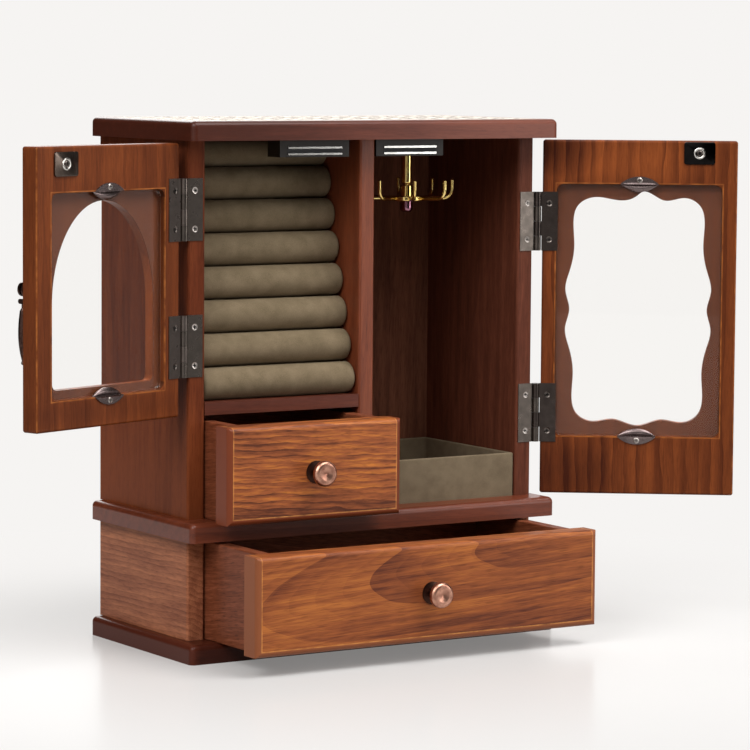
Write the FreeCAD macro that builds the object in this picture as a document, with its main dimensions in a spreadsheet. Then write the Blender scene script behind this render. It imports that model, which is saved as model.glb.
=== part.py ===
import FreeCAD, Part
import math
import os
import re

import Sketcher
from FreeCAD import Vector

# Jewellery organizer: a wooden case with two glazed doors, two drawers, a bed of ring
# rolls, a velvet tray and a turning necklace carousel. Millimetres, X to the right,
# Y to the back, Z up, origin at the centre of the base plate's underside.

SIZES = {
    # Plates and case
    "total_height": 330,
    "plate_width": 268,
    "plate_depth": 132,
    "plate_thickness": 12,
    "plate_edge_radius": 3.5,
    "front_overhang": 18,
    "side_overhang": 7,
    "side_thickness": 12,
    "back_thickness": 9,
    "board_edge_radius": 1.5,
    "lower_bay_height": 62.5,
    "small_bay_height": 63.7,
    "shelf_thickness": 8,
    "partition_thickness": 11,
    "partition_shift": 1,
    "inlay_margin": 8,
    "inlay_thickness": 1,
    # Ring bed
    "roll_pitch": 20.3,
    "roll_step": 5,
    "roll_depth": 15.3,
    "roll_setback": 2,
    "roll_gap": 0.3,
    "roll_end_gap": 0.5,
    "roll_end_radius": 2.5,
    "bed_board_thickness": 4,
    # Velvet tray
    "tray_height": 28,
    "tray_wall": 3.5,
    "tray_floor": 4,
    "tray_clearance": 0.5,
    "tray_rim_radius": 1.4,
    # Drawers
    "front_thickness": 15,
    "front_gap": 0.4,
    "front_edge_radius": 3,
    "drawer_wall": 8,
    "drawer_side_gap": 1,
    "drawer_floor_gap": 0.3,
    "drawer_back_gap": 2,
    "drawer_rim_radius": 1,
    "drawer_bottom_thickness": 3,
    "groove_depth": 3,
    "groove_rise": 4,
    "lining_thickness": 1.5,
    "lining_gap": 0.3,
    "large_front_inset": 3,
    "large_front_bottom_gap": 0.6,
    "large_front_top_gap": 1.5,
    "large_drawer_pull": 64,
    "small_front_inset": 5,
    "small_front_overlap": 5.8,
    "small_front_bottom_gap": 0.5,
    "small_front_top_gap": 3.7,
    "small_drawer_pull": 26,
    # Drawer knobs
    "knob_flange_radius": 7,
    "knob_flange_edge": 0.8,
    "knob_flange_height": 2,
    "knob_neck_radius": 4,
    "knob_head_radius": 7.9,
    "knob_rim_thickness": 3.6,
    "knob_flare_height": 3,
    "knob_projection": 13,
    "knob_dish_radius": 4.2,
    "knob_dish_depth": 0.8,
    "knob_edge_radius": 2.4,
    "knob_stud_radius": 2,
    "knob_stud_length": 11,
    # Doors
    "door_meeting_gap": 4,
    "door_thickness": 12,
    "door_edge_radius": 1.6,
    "door_gap": 1.2,
    "door_top_gap": 1.5,
    "right_door_bottom_gap": 1,
    "left_door_opening": 160.1,
    "right_door_opening": 143.6,
    "rebate_depth": 5.5,
    "rebate_corner_radius": 5,
    "glass_thickness": 3,
    "glass_clearance": 0.4,
    "left_hinge_stile": 13.5,
    "left_free_stile": 12.5,
    "left_bottom_rail": 17.8,
    "left_top_rail": 27.2,
    "right_hinge_stile": 9,
    "right_free_stile": 9.5,
    "right_bottom_rail": 37.5,
    "right_top_rail": 28.2,
    "arch_side_margin": 5.2,
    "arch_end_margin": 5.6,
    "arch_rise": 60,
    "arch_corner_radius": 4,
    "scallop_side_margin": 6.25,
    "scallop_end_margin": 6.35,
    # Glass clips and strike plates
    "clip_length": 25,
    "clip_width": 10,
    "clip_thickness": 0.8,
    "clip_relief": 0.2,
    "strike_length": 20,
    "strike_height": 14.4,
    "strike_thickness": 1,
    "strike_corner_radius": 1,
    "strike_inset": 24.5,
    "left_strike_drop": 10.5,
    "right_strike_drop": 8,
    "trim_screw_head_radius": 2,
    "trim_screw_shank_radius": 1,
    "trim_screw_head_depth": 0.8,
    "trim_screw_length": 7,
    # Butt hinges
    "hinge_height": 38,
    "hinge_pin_offset": 3.2,
    "leaf_width": 10,
    "leaf_thickness": 1,
    "leaf_proud": 0.5,
    "leaf_relief": 0.3,
    "knuckle_radius": 2.4,
    "knuckle_gap": 0.15,
    "pin_radius": 0.9,
    "pin_clearance": 0.05,
    "hinge_screw_inset": 4.5,
    "hinge_screw_spread": 11.7,
    "hinge_screw_head_radius": 2,
    "hinge_screw_shank_radius": 0.9,
    "hinge_screw_head_depth": 1,
    "hinge_screw_length": 9,
    "left_upper_hinge_drop": 40.4,
    "left_lower_hinge_rise": 42.8,
    "right_upper_hinge_drop": 52.5,
    "right_lower_hinge_rise": 52.5,
    # Drop pulls
    "pull_inset": 6.2,
    "pull_plate_radius": 5.6,
    "pull_plate_thickness": 1.2,
    "pull_foot_radius": 3.2,
    "pull_neck_radius": 2.2,
    "rosette_radius": 4.2,
    "rosette_face_radius": 2.4,
    "rosette_bevel": 1,
    "rosette_projection": 6.4,
    "rosette_thickness": 3.2,
    "pull_stud_radius": 1.5,
    "pull_stud_length": 8,
    "pivot_drop": 7,
    "pivot_projection": 4.8,
    "ear_spacing": 3,
    "ear_thickness": 1.2,
    "ear_radius": 1.5,
    "pull_pin_radius": 0.6,
    "pull_eye_radius": 1.35,
    "pull_eye_clearance": 0.15,
    "drop_stem_radius": 0.9,
    "drop_stem_length": 4,
    "drop_shoulder_radius": 1.9,
    "drop_shoulder_height": 1.6,
    "drop_belly_radius": 2.9,
    "drop_belly_depth": 19,
    "drop_taper_depth": 32,
    "drop_taper_radius": 1.5,
    "drop_foot_radius": 0.8,
    "drop_ball_radius": 1.25,
    "drop_length": 37.4,
    # Magnetic catches
    "catch_length": 50,
    "catch_depth": 15,
    "catch_height": 11,
    "catch_setback": 1,
    "left_catch_centre": -37,
    "right_catch_centre": 33,
    "pole_length": 39,
    "pole_depth": 12,
    "pole_thickness": 1.2,
    "pole_projection": 0.8,
    "pole_drop": 7.2,
    "magnet_thickness": 2.7,
    "catch_screw_inset": 2.6,
    "catch_screw_head_radius": 1.9,
    "catch_screw_shank_radius": 1,
    "catch_screw_head_depth": 1.2,
    "catch_screw_length": 18,
    # Necklace carousel
    "flange_radius": 9,
    "flange_thickness": 2,
    "post_radius": 3.5,
    "post_length": 31,
    "post_end_radius": 1.5,
    "spindle_radius": 1.6,
    "spindle_length": 15,
    "hub_play": 0.3,
    "hub_clearance": 0.05,
    "hub_height": 10.2,
    "hub_disc_radius": 12.5,
    "hub_disc_thickness": 3.2,
    "hub_boss_radius": 4.2,
    "hub_edge_radius": 0.8,
    "cap_nut_radius": 4.2,
    "cap_nut_height": 7,
    "cap_nut_dome_radius": 2.4,
    "hook_count": 8,
    "hook_wire_radius": 1.15,
    "hook_root_radius": 7,
    "hook_reach": 30,
    "hook_bend_radius": 6,
    "hook_tip_height": 12.5,
    "flange_screw_reach": 6.2,
    "flange_screw_head_radius": 1.6,
    "flange_screw_shank_radius": 0.8,
    "flange_screw_head_depth": 1,
    "flange_screw_length": 8,
}

# Levels and faces worked out from the sizes. The door lines count from the hinge pin.
PLACES = {
    "mid_bottom": "plate_thickness + lower_bay_height",
    "mid_top": "mid_bottom + plate_thickness",
    "shelf_bottom": "mid_top + small_bay_height",
    "shelf_top": "shelf_bottom + shelf_thickness",
    "top_bottom": "total_height - plate_thickness",
    "case_half_width": "plate_width / 2 - side_overhang",
    "inner_half_width": "case_half_width - side_thickness",
    "case_front": "front_overhang - plate_depth / 2",
    "case_back": "plate_depth / 2",
    "back_face": "case_back - back_thickness",
    "partition_left": "partition_shift - partition_thickness / 2",
    "partition_right": "partition_shift + partition_thickness / 2",
    "roll_slope": "roll_step / roll_pitch",
    "bed_foot": "case_front + roll_setback + roll_depth + roll_gap",
    "front_back": "case_front - front_gap",
    "drawer_end": "back_face - drawer_back_gap",
    "door_width": "case_half_width - door_meeting_gap / 2",
    "door_inner": "-door_gap / 2",
    "door_outer": "door_inner - door_thickness",
    "door_top": "top_bottom - door_top_gap",
    "left_door_bottom": "shelf_bottom",
    "right_door_bottom": "mid_top + right_door_bottom_gap",
    "left_door_middle": "(left_door_bottom + door_top) / 2",
    "right_door_middle": "(right_door_bottom + door_top) / 2",
    "left_rebate_low": "left_door_bottom + left_bottom_rail",
    "left_rebate_high": "door_top - left_top_rail",
    "left_rebate_far": "door_width - left_free_stile",
    "left_rebate_middle": "(left_hinge_stile + left_rebate_far) / 2",
    "right_rebate_low": "right_door_bottom + right_bottom_rail",
    "right_rebate_high": "door_top - right_top_rail",
    "right_rebate_far": "door_width - right_free_stile",
    "right_rebate_middle": "(right_hinge_stile + right_rebate_far) / 2",
    "glass_inner": "door_inner - rebate_depth + glass_thickness",
    "leaf_line": "door_gap / 2 - leaf_proud",
    "leaf_near": "knuckle_radius + leaf_relief",
    "knuckle_height": "hinge_height / 4",
    "carousel_x": "(partition_right + inner_half_width) / 2",
    "post_end": "top_bottom - post_length",
    "hub_top": "post_end - hub_play",
    "hub_bottom": "hub_top - hub_height",
    "hub_disc_top": "hub_bottom + hub_disc_thickness",
    "cap_nut_top": "hub_bottom - hub_play",
    "cap_nut_bottom": "cap_nut_top - cap_nut_height",
    "spindle_end": "post_end - spindle_length",
    "hook_level": "hub_bottom + hub_disc_thickness / 2",
    "drop_shoulder_depth": "drop_stem_length + drop_shoulder_height",
    "drop_upper_rise": "drop_belly_depth - drop_shoulder_depth",
    "drop_upper_swell": "drop_belly_radius - drop_shoulder_radius",
    "drop_upper_bow": "(drop_upper_rise ^ 2 / drop_upper_swell + drop_upper_swell) / 2",
    "drop_lower_rise": "drop_taper_depth - drop_belly_depth",
    "drop_lower_swell": "drop_belly_radius - drop_taper_radius",
    "drop_lower_bow": "(drop_lower_rise ^ 2 / drop_lower_swell + drop_lower_swell) / 2",
    "catch_front": "case_front + catch_setback",
    "catch_bottom": "top_bottom - catch_height",
}

# The scalloped window's outline from its crown to its waist, as shares of its half sizes.
SCALLOP = [
    (0.00, 1.000),
    (0.33, 0.947),
    (0.62, 0.968),
    (0.84, 0.895),
    (0.90, 0.750),
    (0.885, 0.560),
    (0.94, 0.340),
    (1.00, 0.160),
    (0.945, 0.000),
]

SIDES = {"left": "1", "right": "-1"}
FORWARD = 90
BACKWARD = -90
UPWARD = 0
TINY = 0.01

doc = FreeCAD.newDocument("JewelleryOrganizer")
sheet = doc.addObject("Spreadsheet::Sheet", "Sizes")
for row, (size_name, size_value) in enumerate(SIZES.items(), 1):
    sheet.set(f"A{row}", size_name)
    sheet.set(f"B{row}", str(size_value))
    sheet.setAlias(f"B{row}", size_name)
doc.recompute()

nodes = []


def formula(text):
    """Turn size names into cells of the sheet and place names into their own formulas."""
    def expand(match):
        word = match.group()
        if word in PLACES:
            return f"({formula(PLACES[word])})"
        return f"Sizes.{word}" if word in SIZES else word
    return re.sub(r"[A-Za-z_]\w*", expand, str(text))


def value(text):
    return float(sheet.evalExpression(formula(text)))


def bind(item, **formulas):
    for key, text in formulas.items():
        item.setExpression(key, formula(text))


def place(item, x="0", y="0", z="0", axis="0; 0; 1", angle="0"):
    """Put an object at x, y, z, turned by an angle about an axis through its own origin."""
    where = f"vector({x}; {y}; {z})"
    bind(item, Placement=f"placement({where}; rotation(vector({axis}); {angle}))")
    return item


def moved(label, pieces, **where):
    """A group of pieces that shares one placement."""
    group = doc.addObject("Part::Compound", label)
    group.Label = label
    group.Links = pieces
    return place(group, **where)


def node(label, pieces, **where):
    """A named sub-part of the organizer."""
    group = moved(label, pieces, **where)
    nodes.append(group)
    return group


def primitive(kind, label, **formulas):
    item = doc.addObject(f"Part::{kind}", label)
    bind(item, **formulas)
    return item


def box(label, low, high):
    """A block between its lowest and highest corners."""
    length, width, height = (f"({top}) - ({bottom})" for bottom, top in zip(low, high))
    block = primitive("Box", label, Length=length, Width=width, Height=height)
    return place(block, *low)


def rod(label, radius, height, **where):
    return place(primitive("Cylinder", label, Radius=radius, Height=height), **where)


def fuse(label, pieces):
    joined = doc.addObject("Part::MultiFuse", label)
    joined.Shapes = pieces
    joined.Refine = True
    return joined


def cut(label, base, tools):
    """Take each tool's shape out of the base, and make sure that each takes something."""
    for number, tool in enumerate(tools, 1):
        result = doc.addObject("Part::Cut", f"{label}_cut_{number}")
        result.Base = base
        result.Tool = tool
        doc.recompute()
        if not result.Shape.Volume < base.Shape.Volume:
            raise ValueError(f"{tool.Label} takes nothing from {label}")
        base = result
    return base


def new_body(label):
    body = doc.addObject("PartDesign::Body", label)
    body.Label = label
    return body


def sketch_on(body, role, height="0"):
    """A sketch on one of the body's own origin planes, lifted along the plane's normal."""
    sketch = body.newObject("Sketcher::SketchObject", f"{body.Name}_sketch")
    plane = next(item for item in body.Origin.OriginFeatures if item.Role == role)
    sketch.AttachmentSupport = (plane, "")
    sketch.MapMode = "FlatFace"
    sketch.setExpression("AttachmentOffset.Base.z", formula(height))
    return sketch


def dimension(sketch, kind, *where):
    """Add a dimension whose last argument is its formula."""
    number = sketch.addConstraint(Sketcher.Constraint(kind, *where[:-1], value(where[-1])))
    sketch.setExpression(f"Constraints[{number}]", formula(where[-1]))


def pin(sketch, geometry, point, x, y):
    """Hold a point of the sketch at x, y from the sketch's origin."""
    dimension(sketch, "DistanceX", -1, 1, geometry, point, x)
    dimension(sketch, "DistanceY", -1, 1, geometry, point, y)


def arc_between(start, end, radius, turn):
    """The shorter arc from start to end, turning left for 1 and right for -1."""
    chord = end - start
    side = Vector(-chord.y, chord.x, 0).normalize() * turn
    centre = (start + end) / 2 + side * math.sqrt(radius ** 2 - chord.Length ** 2 / 4)
    middle = centre - side * radius
    return Part.Arc(start, middle, end)


def outline(sketch, stops):
    """Draw a closed outline; a stop (x, y, radius, turn) is reached by an arc."""
    points = [Vector(value(stop[0]), value(stop[1]), 0) for stop in stops]
    runs = []
    for index, stop in enumerate(stops):
        start, end = points[index - 1], points[index]
        if len(stop) == 2:
            number = sketch.addGeometry(Part.LineSegment(start, end))
            runs.append((number, 1, 2))
            continue
        _, _, radius, turn = stop
        number = sketch.addGeometry(arc_between(start, end, value(radius), turn))
        runs.append((number, 1, 2) if turn > 0 else (number, 2, 1))
    for index, (number, _, last) in enumerate(runs):
        following, first, _ = runs[(index + 1) % len(runs)]
        sketch.addConstraint(Sketcher.Constraint("Coincident", number, last, following, first))
        pin(sketch, number, last, stops[index][0], stops[index][1])
        if len(stops[index]) > 2:
            dimension(sketch, "Radius", number, stops[index][2])


def rectangle(sketch, x0, y0, x1, y1):
    outline(sketch, [(x0, y0), (x1, y0), (x1, y1), (x0, y1)])


def pad(body, sketch, length):
    feature = body.newObject("PartDesign::Pad", f"{body.Name}_pad")
    feature.Profile = sketch
    bind(feature, Length=length)
    return feature


def pocket(body, sketch, length):
    """Cut along the sketch plane's normal, and make sure that something is cut."""
    doc.recompute()
    before = body.Shape.Volume
    feature = body.newObject("PartDesign::Pocket", f"{body.Name}_pocket")
    feature.Profile = sketch
    feature.Reversed = True
    bind(feature, Length=length)
    doc.recompute()
    if not feature.Shape.Volume < before:
        raise ValueError(f"{feature.Name} cuts nothing")
    return feature


def revolve(body, stops):
    """Turn an outline of radius and height about the body's upright axis."""
    sketch = sketch_on(body, "XZ_Plane")
    outline(sketch, stops)
    feature = body.newObject("PartDesign::Revolution", f"{body.Name}_revolution")
    feature.Profile = sketch
    feature.ReferenceAxis = (sketch, ["V_Axis"])
    return feature


def round_edges(body, radius, wanted):
    """Round the edges of the newest feature that the test wants, given the body's box."""
    doc.recompute()
    base = body.Tip
    bounds = base.Shape.BoundBox
    edges = enumerate(base.Shape.Edges, 1)
    names = [f"Edge{number}" for number, edge in edges if wanted(edge.BoundBox, bounds)]
    fillet = body.newObject("PartDesign::Fillet", f"{body.Name}_rounding")
    fillet.Base = (base, names)
    bind(fillet, Radius=radius)
    doc.recompute()
    if not fillet.Shape.Volume < base.Shape.Volume:
        raise ValueError(f"{fillet.Name} rounds nothing")
    return fillet


def board(label, low, high):
    """A flat board between its lowest and highest corners."""
    body = new_body(label)
    sketch = sketch_on(body, "XY_Plane", low[2])
    rectangle(sketch, low[0], low[1], high[0], high[1])
    pad(body, sketch, f"({high[2]}) - ({low[2]})")
    return body


def not_underneath(edge, bounds):
    return edge.ZMax > bounds.ZMin + TINY


def upright_in_front(edge, bounds):
    return edge.YMax < bounds.YMin + TINY and edge.ZLength > edge.XLength


def on_the_front(edge, bounds):
    return edge.YMax < bounds.YMin + TINY


def on_the_top(edge, bounds):
    return edge.ZMin > bounds.ZMax - TINY


def at_an_end(edge, bounds):
    """The front and the level edges of a roll's two ends."""
    at_left = edge.XMax < bounds.XMin + TINY
    at_right = edge.XMin > bounds.XMax - TINY
    slanted = edge.YLength > TINY and edge.ZLength > TINY and edge.YMin > bounds.YMin + TINY
    curved = edge.YMin < bounds.YMin + TINY
    return (at_left or at_right) and (curved or not slanted)


def any_edge(edge, bounds):
    return True


def screw(label, kind, x, y, z, heading):
    """A countersunk screw with its head's face at x, y, z, driven forward, back or up."""
    head = primitive(
        "Cone",
        f"{label}_head",
        Radius1=f"{kind}_head_radius",
        Radius2=f"{kind}_shank_radius",
        Height=f"{kind}_head_depth",
    )
    shank = rod(
        f"{label}_shank",
        f"{kind}_shank_radius",
        f"{kind}_length - {kind}_head_depth",
        z=f"{kind}_head_depth",
    )
    return place(fuse(label, [head, shank]), x, y, z, "1; 0; 0", heading)


def door_x(side, reach):
    """A distance from the door's hinge edge, as a door-frame X that counts from the pin."""
    return f"{SIDES[side]} * (hinge_pin_offset + {reach})"


def door_swing(side):
    """The pin's place in the case, and the turn that opens the door as it stands at rest."""
    return {
        "x": f"-{SIDES[side]} * (case_half_width + hinge_pin_offset)",
        "y": "case_front - door_gap / 2",
        "angle": f"-{SIDES[side]} * {side}_door_opening",
    }


def make_plates():
    """Base, mid and top plate; the top plate holds the inlay in a recess."""
    levels = {"base": "0", "mid": "mid_bottom", "top": "top_bottom"}
    plates = {}
    for name, level in levels.items():
        plates[name] = board(
            f"{name}_plate_board",
            ("-plate_width / 2", "-plate_depth / 2", level),
            ("plate_width / 2", "plate_depth / 2", f"{level} + plate_thickness"),
        )
        round_edges(plates[name], "plate_edge_radius", not_underneath)
    inlay = board(
        "top_inlay_board",
        (
            "inlay_margin - plate_width / 2",
            "inlay_margin - plate_depth / 2",
            "total_height - inlay_thickness",
        ),
        ("plate_width / 2 - inlay_margin", "plate_depth / 2 - inlay_margin", "total_height"),
    )
    node("base_plate", [plates["base"]])
    node("mid_plate", [plates["mid"]])
    node("top_inlay", [inlay])
    return cut("top_plate", plates["top"], [inlay])


def make_side(label, side, floor, ceiling):
    sign = SIDES[side]
    centre = f"(case_half_width - side_thickness / 2) * -{sign}"
    panel = board(
        label,
        (f"{centre} - side_thickness / 2", "case_front", floor),
        (f"{centre} + side_thickness / 2", "case_back", ceiling),
    )
    round_edges(panel, "board_edge_radius", upright_in_front)
    return panel


def make_lower_case():
    for side in SIDES:
        panel = make_side(f"lower_{side}_board", side, "plate_thickness", "mid_bottom")
        node(f"lower_{side}_side", [panel])
    back = board(
        "lower_back_board",
        ("-inner_half_width", "back_face", "plate_thickness"),
        ("inner_half_width", "case_back", "mid_bottom"),
    )
    node("lower_back_panel", [back])


def make_upper_case():
    """Back panel, partition and ring shelf; the sides follow with their hinges."""
    back = board(
        "upper_back_board",
        ("-inner_half_width", "back_face", "mid_top"),
        ("inner_half_width", "case_back", "top_bottom"),
    )
    partition = board(
        "partition_board",
        ("partition_left", "case_front", "mid_top"),
        ("partition_right", "back_face", "top_bottom"),
    )
    round_edges(partition, "board_edge_radius", upright_in_front)
    shelf = board(
        "ring_shelf_board",
        ("-inner_half_width", "case_front", "shelf_bottom"),
        ("partition_left", "back_face", "shelf_top"),
    )
    node("upper_back_panel", [back])
    node("centre_partition", [partition])
    node("ring_shelf", [shelf])


def make_ring_bed():
    """Half-round velvet rolls stacked on the shelf, each set back, before a leaning board."""
    left = "-inner_half_width + roll_end_gap"
    right = "partition_left - roll_end_gap"
    bay = value("top_bottom - shelf_top")
    least_height = value("3 * roll_end_radius")
    rolls = []
    while bay - len(rolls) * value("roll_pitch") > least_height:
        number = len(rolls)
        foot = f"shelf_top + {number} * roll_pitch"
        front = f"case_front + roll_setback + {number} * roll_step"
        room = f"top_bottom - ({foot}) - 2 * roll_gap"
        height = f"min(roll_pitch - roll_gap; {room})"
        crease = f"{front} + {height} / 2"
        back = f"{front} + roll_depth"
        roll = new_body(f"ring_roll_{number + 1}")
        sketch = sketch_on(roll, "YZ_Plane", left)
        outline(sketch, [
            (back, foot),
            (f"{back} + roll_slope * {height}", f"{foot} + {height}"),
            (crease, f"{foot} + {height}"),
            (front, f"{foot} + {height} / 2", f"{height} / 2", 1),
            (crease, foot, f"{height} / 2", 1),
        ])
        pad(roll, sketch, f"({right}) - ({left})")
        round_edges(roll, "roll_end_radius", at_an_end)
        rolls.append(roll)
    lean = "roll_slope * (top_bottom - shelf_top)"
    bed = new_body("ring_bed_panel")
    sketch = sketch_on(bed, "YZ_Plane", "-inner_half_width")
    outline(sketch, [
        ("bed_foot", "shelf_top"),
        ("bed_foot + bed_board_thickness", "shelf_top"),
        (f"bed_foot + bed_board_thickness + {lean}", "top_bottom"),
        (f"bed_foot + {lean}", "top_bottom"),
    ])
    pad(bed, sketch, "partition_left + inner_half_width")
    node("ring_rolls", rolls)
    node("ring_bed_board", [bed])


def make_tray():
    """Open velvet-covered tray on the floor of the right compartment."""
    left = "partition_right + tray_clearance"
    right = "inner_half_width - tray_clearance"
    front = "case_front + tray_clearance"
    back = "back_face - tray_clearance"
    tray = board(
        "velvet_tray_body",
        (left, front, "mid_top"),
        (right, back, "mid_top + tray_height"),
    )
    hollow = sketch_on(tray, "XY_Plane", "mid_top + tray_floor")
    rectangle(
        hollow,
        f"{left} + tray_wall",
        f"{front} + tray_wall",
        f"{right} - tray_wall",
        f"{back} - tray_wall",
    )
    pocket(tray, hollow, "tray_height")
    round_edges(tray, "tray_rim_radius", on_the_top)
    node("velvet_tray", [tray])


def make_knob(name, x, z, pull):
    """A turned knob: flange, neck, dished head and the stud that holds it in the front."""
    knob = new_body(f"{name}_knob_turning")
    rim_bottom = "knob_projection - knob_rim_thickness"
    revolve(knob, [
        ("0", "-knob_stud_length"),
        ("knob_stud_radius", "-knob_stud_length"),
        ("knob_stud_radius", "0"),
        ("knob_flange_radius", "0"),
        ("knob_flange_radius", "knob_flange_edge"),
        ("knob_neck_radius", "knob_flange_height"),
        ("knob_neck_radius", f"{rim_bottom} - knob_flare_height"),
        ("knob_head_radius", rim_bottom),
        ("knob_head_radius", "knob_projection - knob_edge_radius"),
        ("knob_head_radius - knob_edge_radius", "knob_projection", "knob_edge_radius", 1),
        ("knob_dish_radius", "knob_projection"),
        ("0", "knob_projection - knob_dish_depth"),
    ])
    place(knob, x, "front_back - front_thickness", z, "1; 0; 0", FORWARD)
    node(f"{name}_drawer_knob", [knob], y=f"-{pull}")
    return knob


def make_drawer(name, bay_left, bay_right, floor, ceiling, front_left, front_right):
    """An overlay-front drawer, built closed and drawn out by its pull."""
    pull = f"{name}_drawer_pull"
    front_bottom = f"{floor} + {name}_front_bottom_gap"
    front_top = f"{ceiling} - {name}_front_top_gap"
    box_left = f"{bay_left} + drawer_side_gap"
    box_right = f"{bay_right} - drawer_side_gap"
    box_floor = f"{floor} + drawer_floor_gap"
    inner_left = f"{box_left} + drawer_wall"
    inner_right = f"{box_right} - drawer_wall"
    inner_back = "drawer_end - drawer_wall"
    bottom_level = f"{box_floor} + groove_rise"
    lining_level = f"{bottom_level} + drawer_bottom_thickness"
    front = board(
        f"{name}_front_board",
        (front_left, "front_back - front_thickness", front_bottom),
        (front_right, "front_back", front_top),
    )
    round_edges(front, "front_edge_radius", on_the_front)
    left = board(
        f"{name}_left_board",
        (box_left, "front_back", box_floor),
        (inner_left, "drawer_end", front_top),
    )
    right = board(
        f"{name}_right_board",
        (inner_right, "front_back", box_floor),
        (box_right, "drawer_end", front_top),
    )
    back = board(
        f"{name}_back_board",
        (inner_left, inner_back, box_floor),
        (inner_right, "drawer_end", front_top),
    )
    bottom = board(
        f"{name}_bottom_board",
        (f"{inner_left} - groove_depth", "front_back - groove_depth", bottom_level),
        (f"{inner_right} + groove_depth", f"{inner_back} + groove_depth", lining_level),
    )
    lining = board(
        f"{name}_lining_sheet",
        (f"{inner_left} + lining_gap", "front_back + lining_gap", lining_level),
        (
            f"{inner_right} - lining_gap",
            f"{inner_back} - lining_gap",
            f"{lining_level} + lining_thickness",
        ),
    )
    round_edges(left, "drawer_rim_radius", on_the_top)
    round_edges(right, "drawer_rim_radius", on_the_top)
    knob = make_knob(
        name,
        f"({front_left} + {front_right}) / 2",
        f"({front_bottom} + {front_top}) / 2",
        pull,
    )
    boards = {
        "front": cut(f"{name}_front", front, [bottom, knob]),
        "left_side": cut(f"{name}_left", left, [bottom]),
        "right_side": cut(f"{name}_right", right, [bottom]),
        "back": cut(f"{name}_back", back, [bottom]),
        "bottom": bottom,
        "lining": lining,
    }
    for part_name, piece in boards.items():
        node(f"{name}_drawer_{part_name}", [piece], y=f"-{pull}")


def hinge_screws(label, side, heights, toward):
    """Two screws for each leaf, driven from the leaf's open face."""
    facing = "leaf_line" if toward == BACKWARD else "-leaf_line"
    return [
        screw(
            f"{label}_{number}_{spread}",
            "hinge_screw",
            door_x(side, "hinge_screw_inset"),
            facing,
            f"{height} {sign} hinge_screw_spread",
            toward,
        )
        for number, height in enumerate(heights, 1)
        for spread, sign in (("upper", "+"), ("lower", "-"))
    ]


def hinge_leaf(label, side, height, knuckles, low_y, bore, screws):
    """A leaf with its two knuckles, counted from the top, on the pin's line."""
    sign = SIDES[side]
    high_y = f"{low_y} + leaf_thickness"
    width = "(hinge_pin_offset + leaf_width - leaf_near)"
    middle = f"(leaf_near + {width} / 2) * {sign}"
    pieces = [box(
        f"{label}_plate",
        (f"{middle} - {width} / 2", low_y, f"{height} - hinge_height / 2"),
        (f"{middle} + {width} / 2", high_y, f"{height} + hinge_height / 2"),
    )]
    for knuckle in knuckles:
        low_z = f"{height} + hinge_height / 2 - {knuckle} * knuckle_height + knuckle_gap / 2"
        length = "knuckle_height - knuckle_gap"
        pieces.append(rod(f"{label}_knuckle_{knuckle}", "knuckle_radius", length, z=low_z))
        web = f"leaf_near / 2 * {sign}"
        pieces.append(box(
            f"{label}_web_{knuckle}",
            (f"{web} - leaf_near / 2", low_y, low_z),
            (f"{web} + leaf_near / 2", high_y, f"{low_z} + {length}"),
        ))
    hole = rod(f"{label}_bore", bore, "hinge_height", z=f"{height} - hinge_height / 2")
    return cut(label, fuse(f"{label}_blank", pieces), [hole] + screws)


def make_hinges(side):
    """Two hinges of one door: case halves placed in the case, door halves left at the pin."""
    heights = [
        f"(door_top - {side}_upper_hinge_drop)",
        f"({side}_door_bottom + {side}_lower_hinge_rise)",
    ]
    swing = door_swing(side)
    swing["angle"] = "0"
    case_screws = hinge_screws(f"{side}_case_screw", side, heights, BACKWARD)
    door_screws = hinge_screws(f"{side}_door_screw", side, heights, FORWARD)
    case_leaves = []
    door_leaves = []
    pins = []
    for number, height in enumerate(heights):
        own_screws = slice(2 * number, 2 * number + 2)
        label = f"{side}_hinge_{number + 1}"
        case_leaves.append(hinge_leaf(
            f"{label}_case_leaf", side, height, (2, 4), "leaf_line",
            "pin_radius", case_screws[own_screws],
        ))
        door_leaves.append(hinge_leaf(
            f"{label}_door_leaf", side, height, (1, 3), "-leaf_line - leaf_thickness",
            "pin_radius + pin_clearance", door_screws[own_screws],
        ))
        low_z = f"{height} - hinge_height / 2"
        pins.append(rod(f"{label}_pin", "pin_radius", "hinge_height", z=low_z))
    return {
        "case_leaves": moved(f"{side}_case_leaves", case_leaves, **swing),
        "case_screws": moved(f"{side}_case_screws", case_screws, **swing),
        "pins": moved(f"{side}_hinge_pins", pins, **swing),
        "door_leaves": door_leaves,
        "door_screws": door_screws,
    }


def prism(label, wire, y, depth):
    """A prism that stands on the door's plane: the wire lies in X and Z at the given Y."""
    shape = Part.Face(wire).extrude(Vector(0, depth, 0))
    item = doc.addObject("Part::Feature", label)
    item.Shape = shape
    item.Placement = FreeCAD.Placement(Vector(0, y, 0), FreeCAD.Rotation())
    return item


def arched_wire(left, right, low_z, high_z):
    """A window with upright sides, rounded lower corners and a half-elliptical head."""
    corner = value("arch_corner_radius")
    inside = corner * (1 - math.sqrt(0.5))
    half = (right - left) / 2
    spring = high_z - value("arch_rise")

    def at(x, z):
        return Vector(x, 0, z)

    stretch = FreeCAD.Matrix()
    stretch.scale(1, 1, value("arch_rise") / half)
    stretch.move(left + half, 0, spring)
    half_circle = Part.Arc(at(half, 0), at(0, half), at(-half, 0)).toShape()
    runs = [
        Part.LineSegment(at(left, spring), at(left, low_z + corner)),
        Part.Arc(
            at(left, low_z + corner),
            at(left + inside, low_z + inside),
            at(left + corner, low_z),
        ),
        Part.LineSegment(at(left + corner, low_z), at(right - corner, low_z)),
        Part.Arc(
            at(right - corner, low_z),
            at(right - inside, low_z + inside),
            at(right, low_z + corner),
        ),
        Part.LineSegment(at(right, low_z + corner), at(right, spring)),
    ]
    head = half_circle.transformGeometry(stretch)
    return Part.Wire(head.Edges + [run.toShape() for run in runs])


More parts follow.
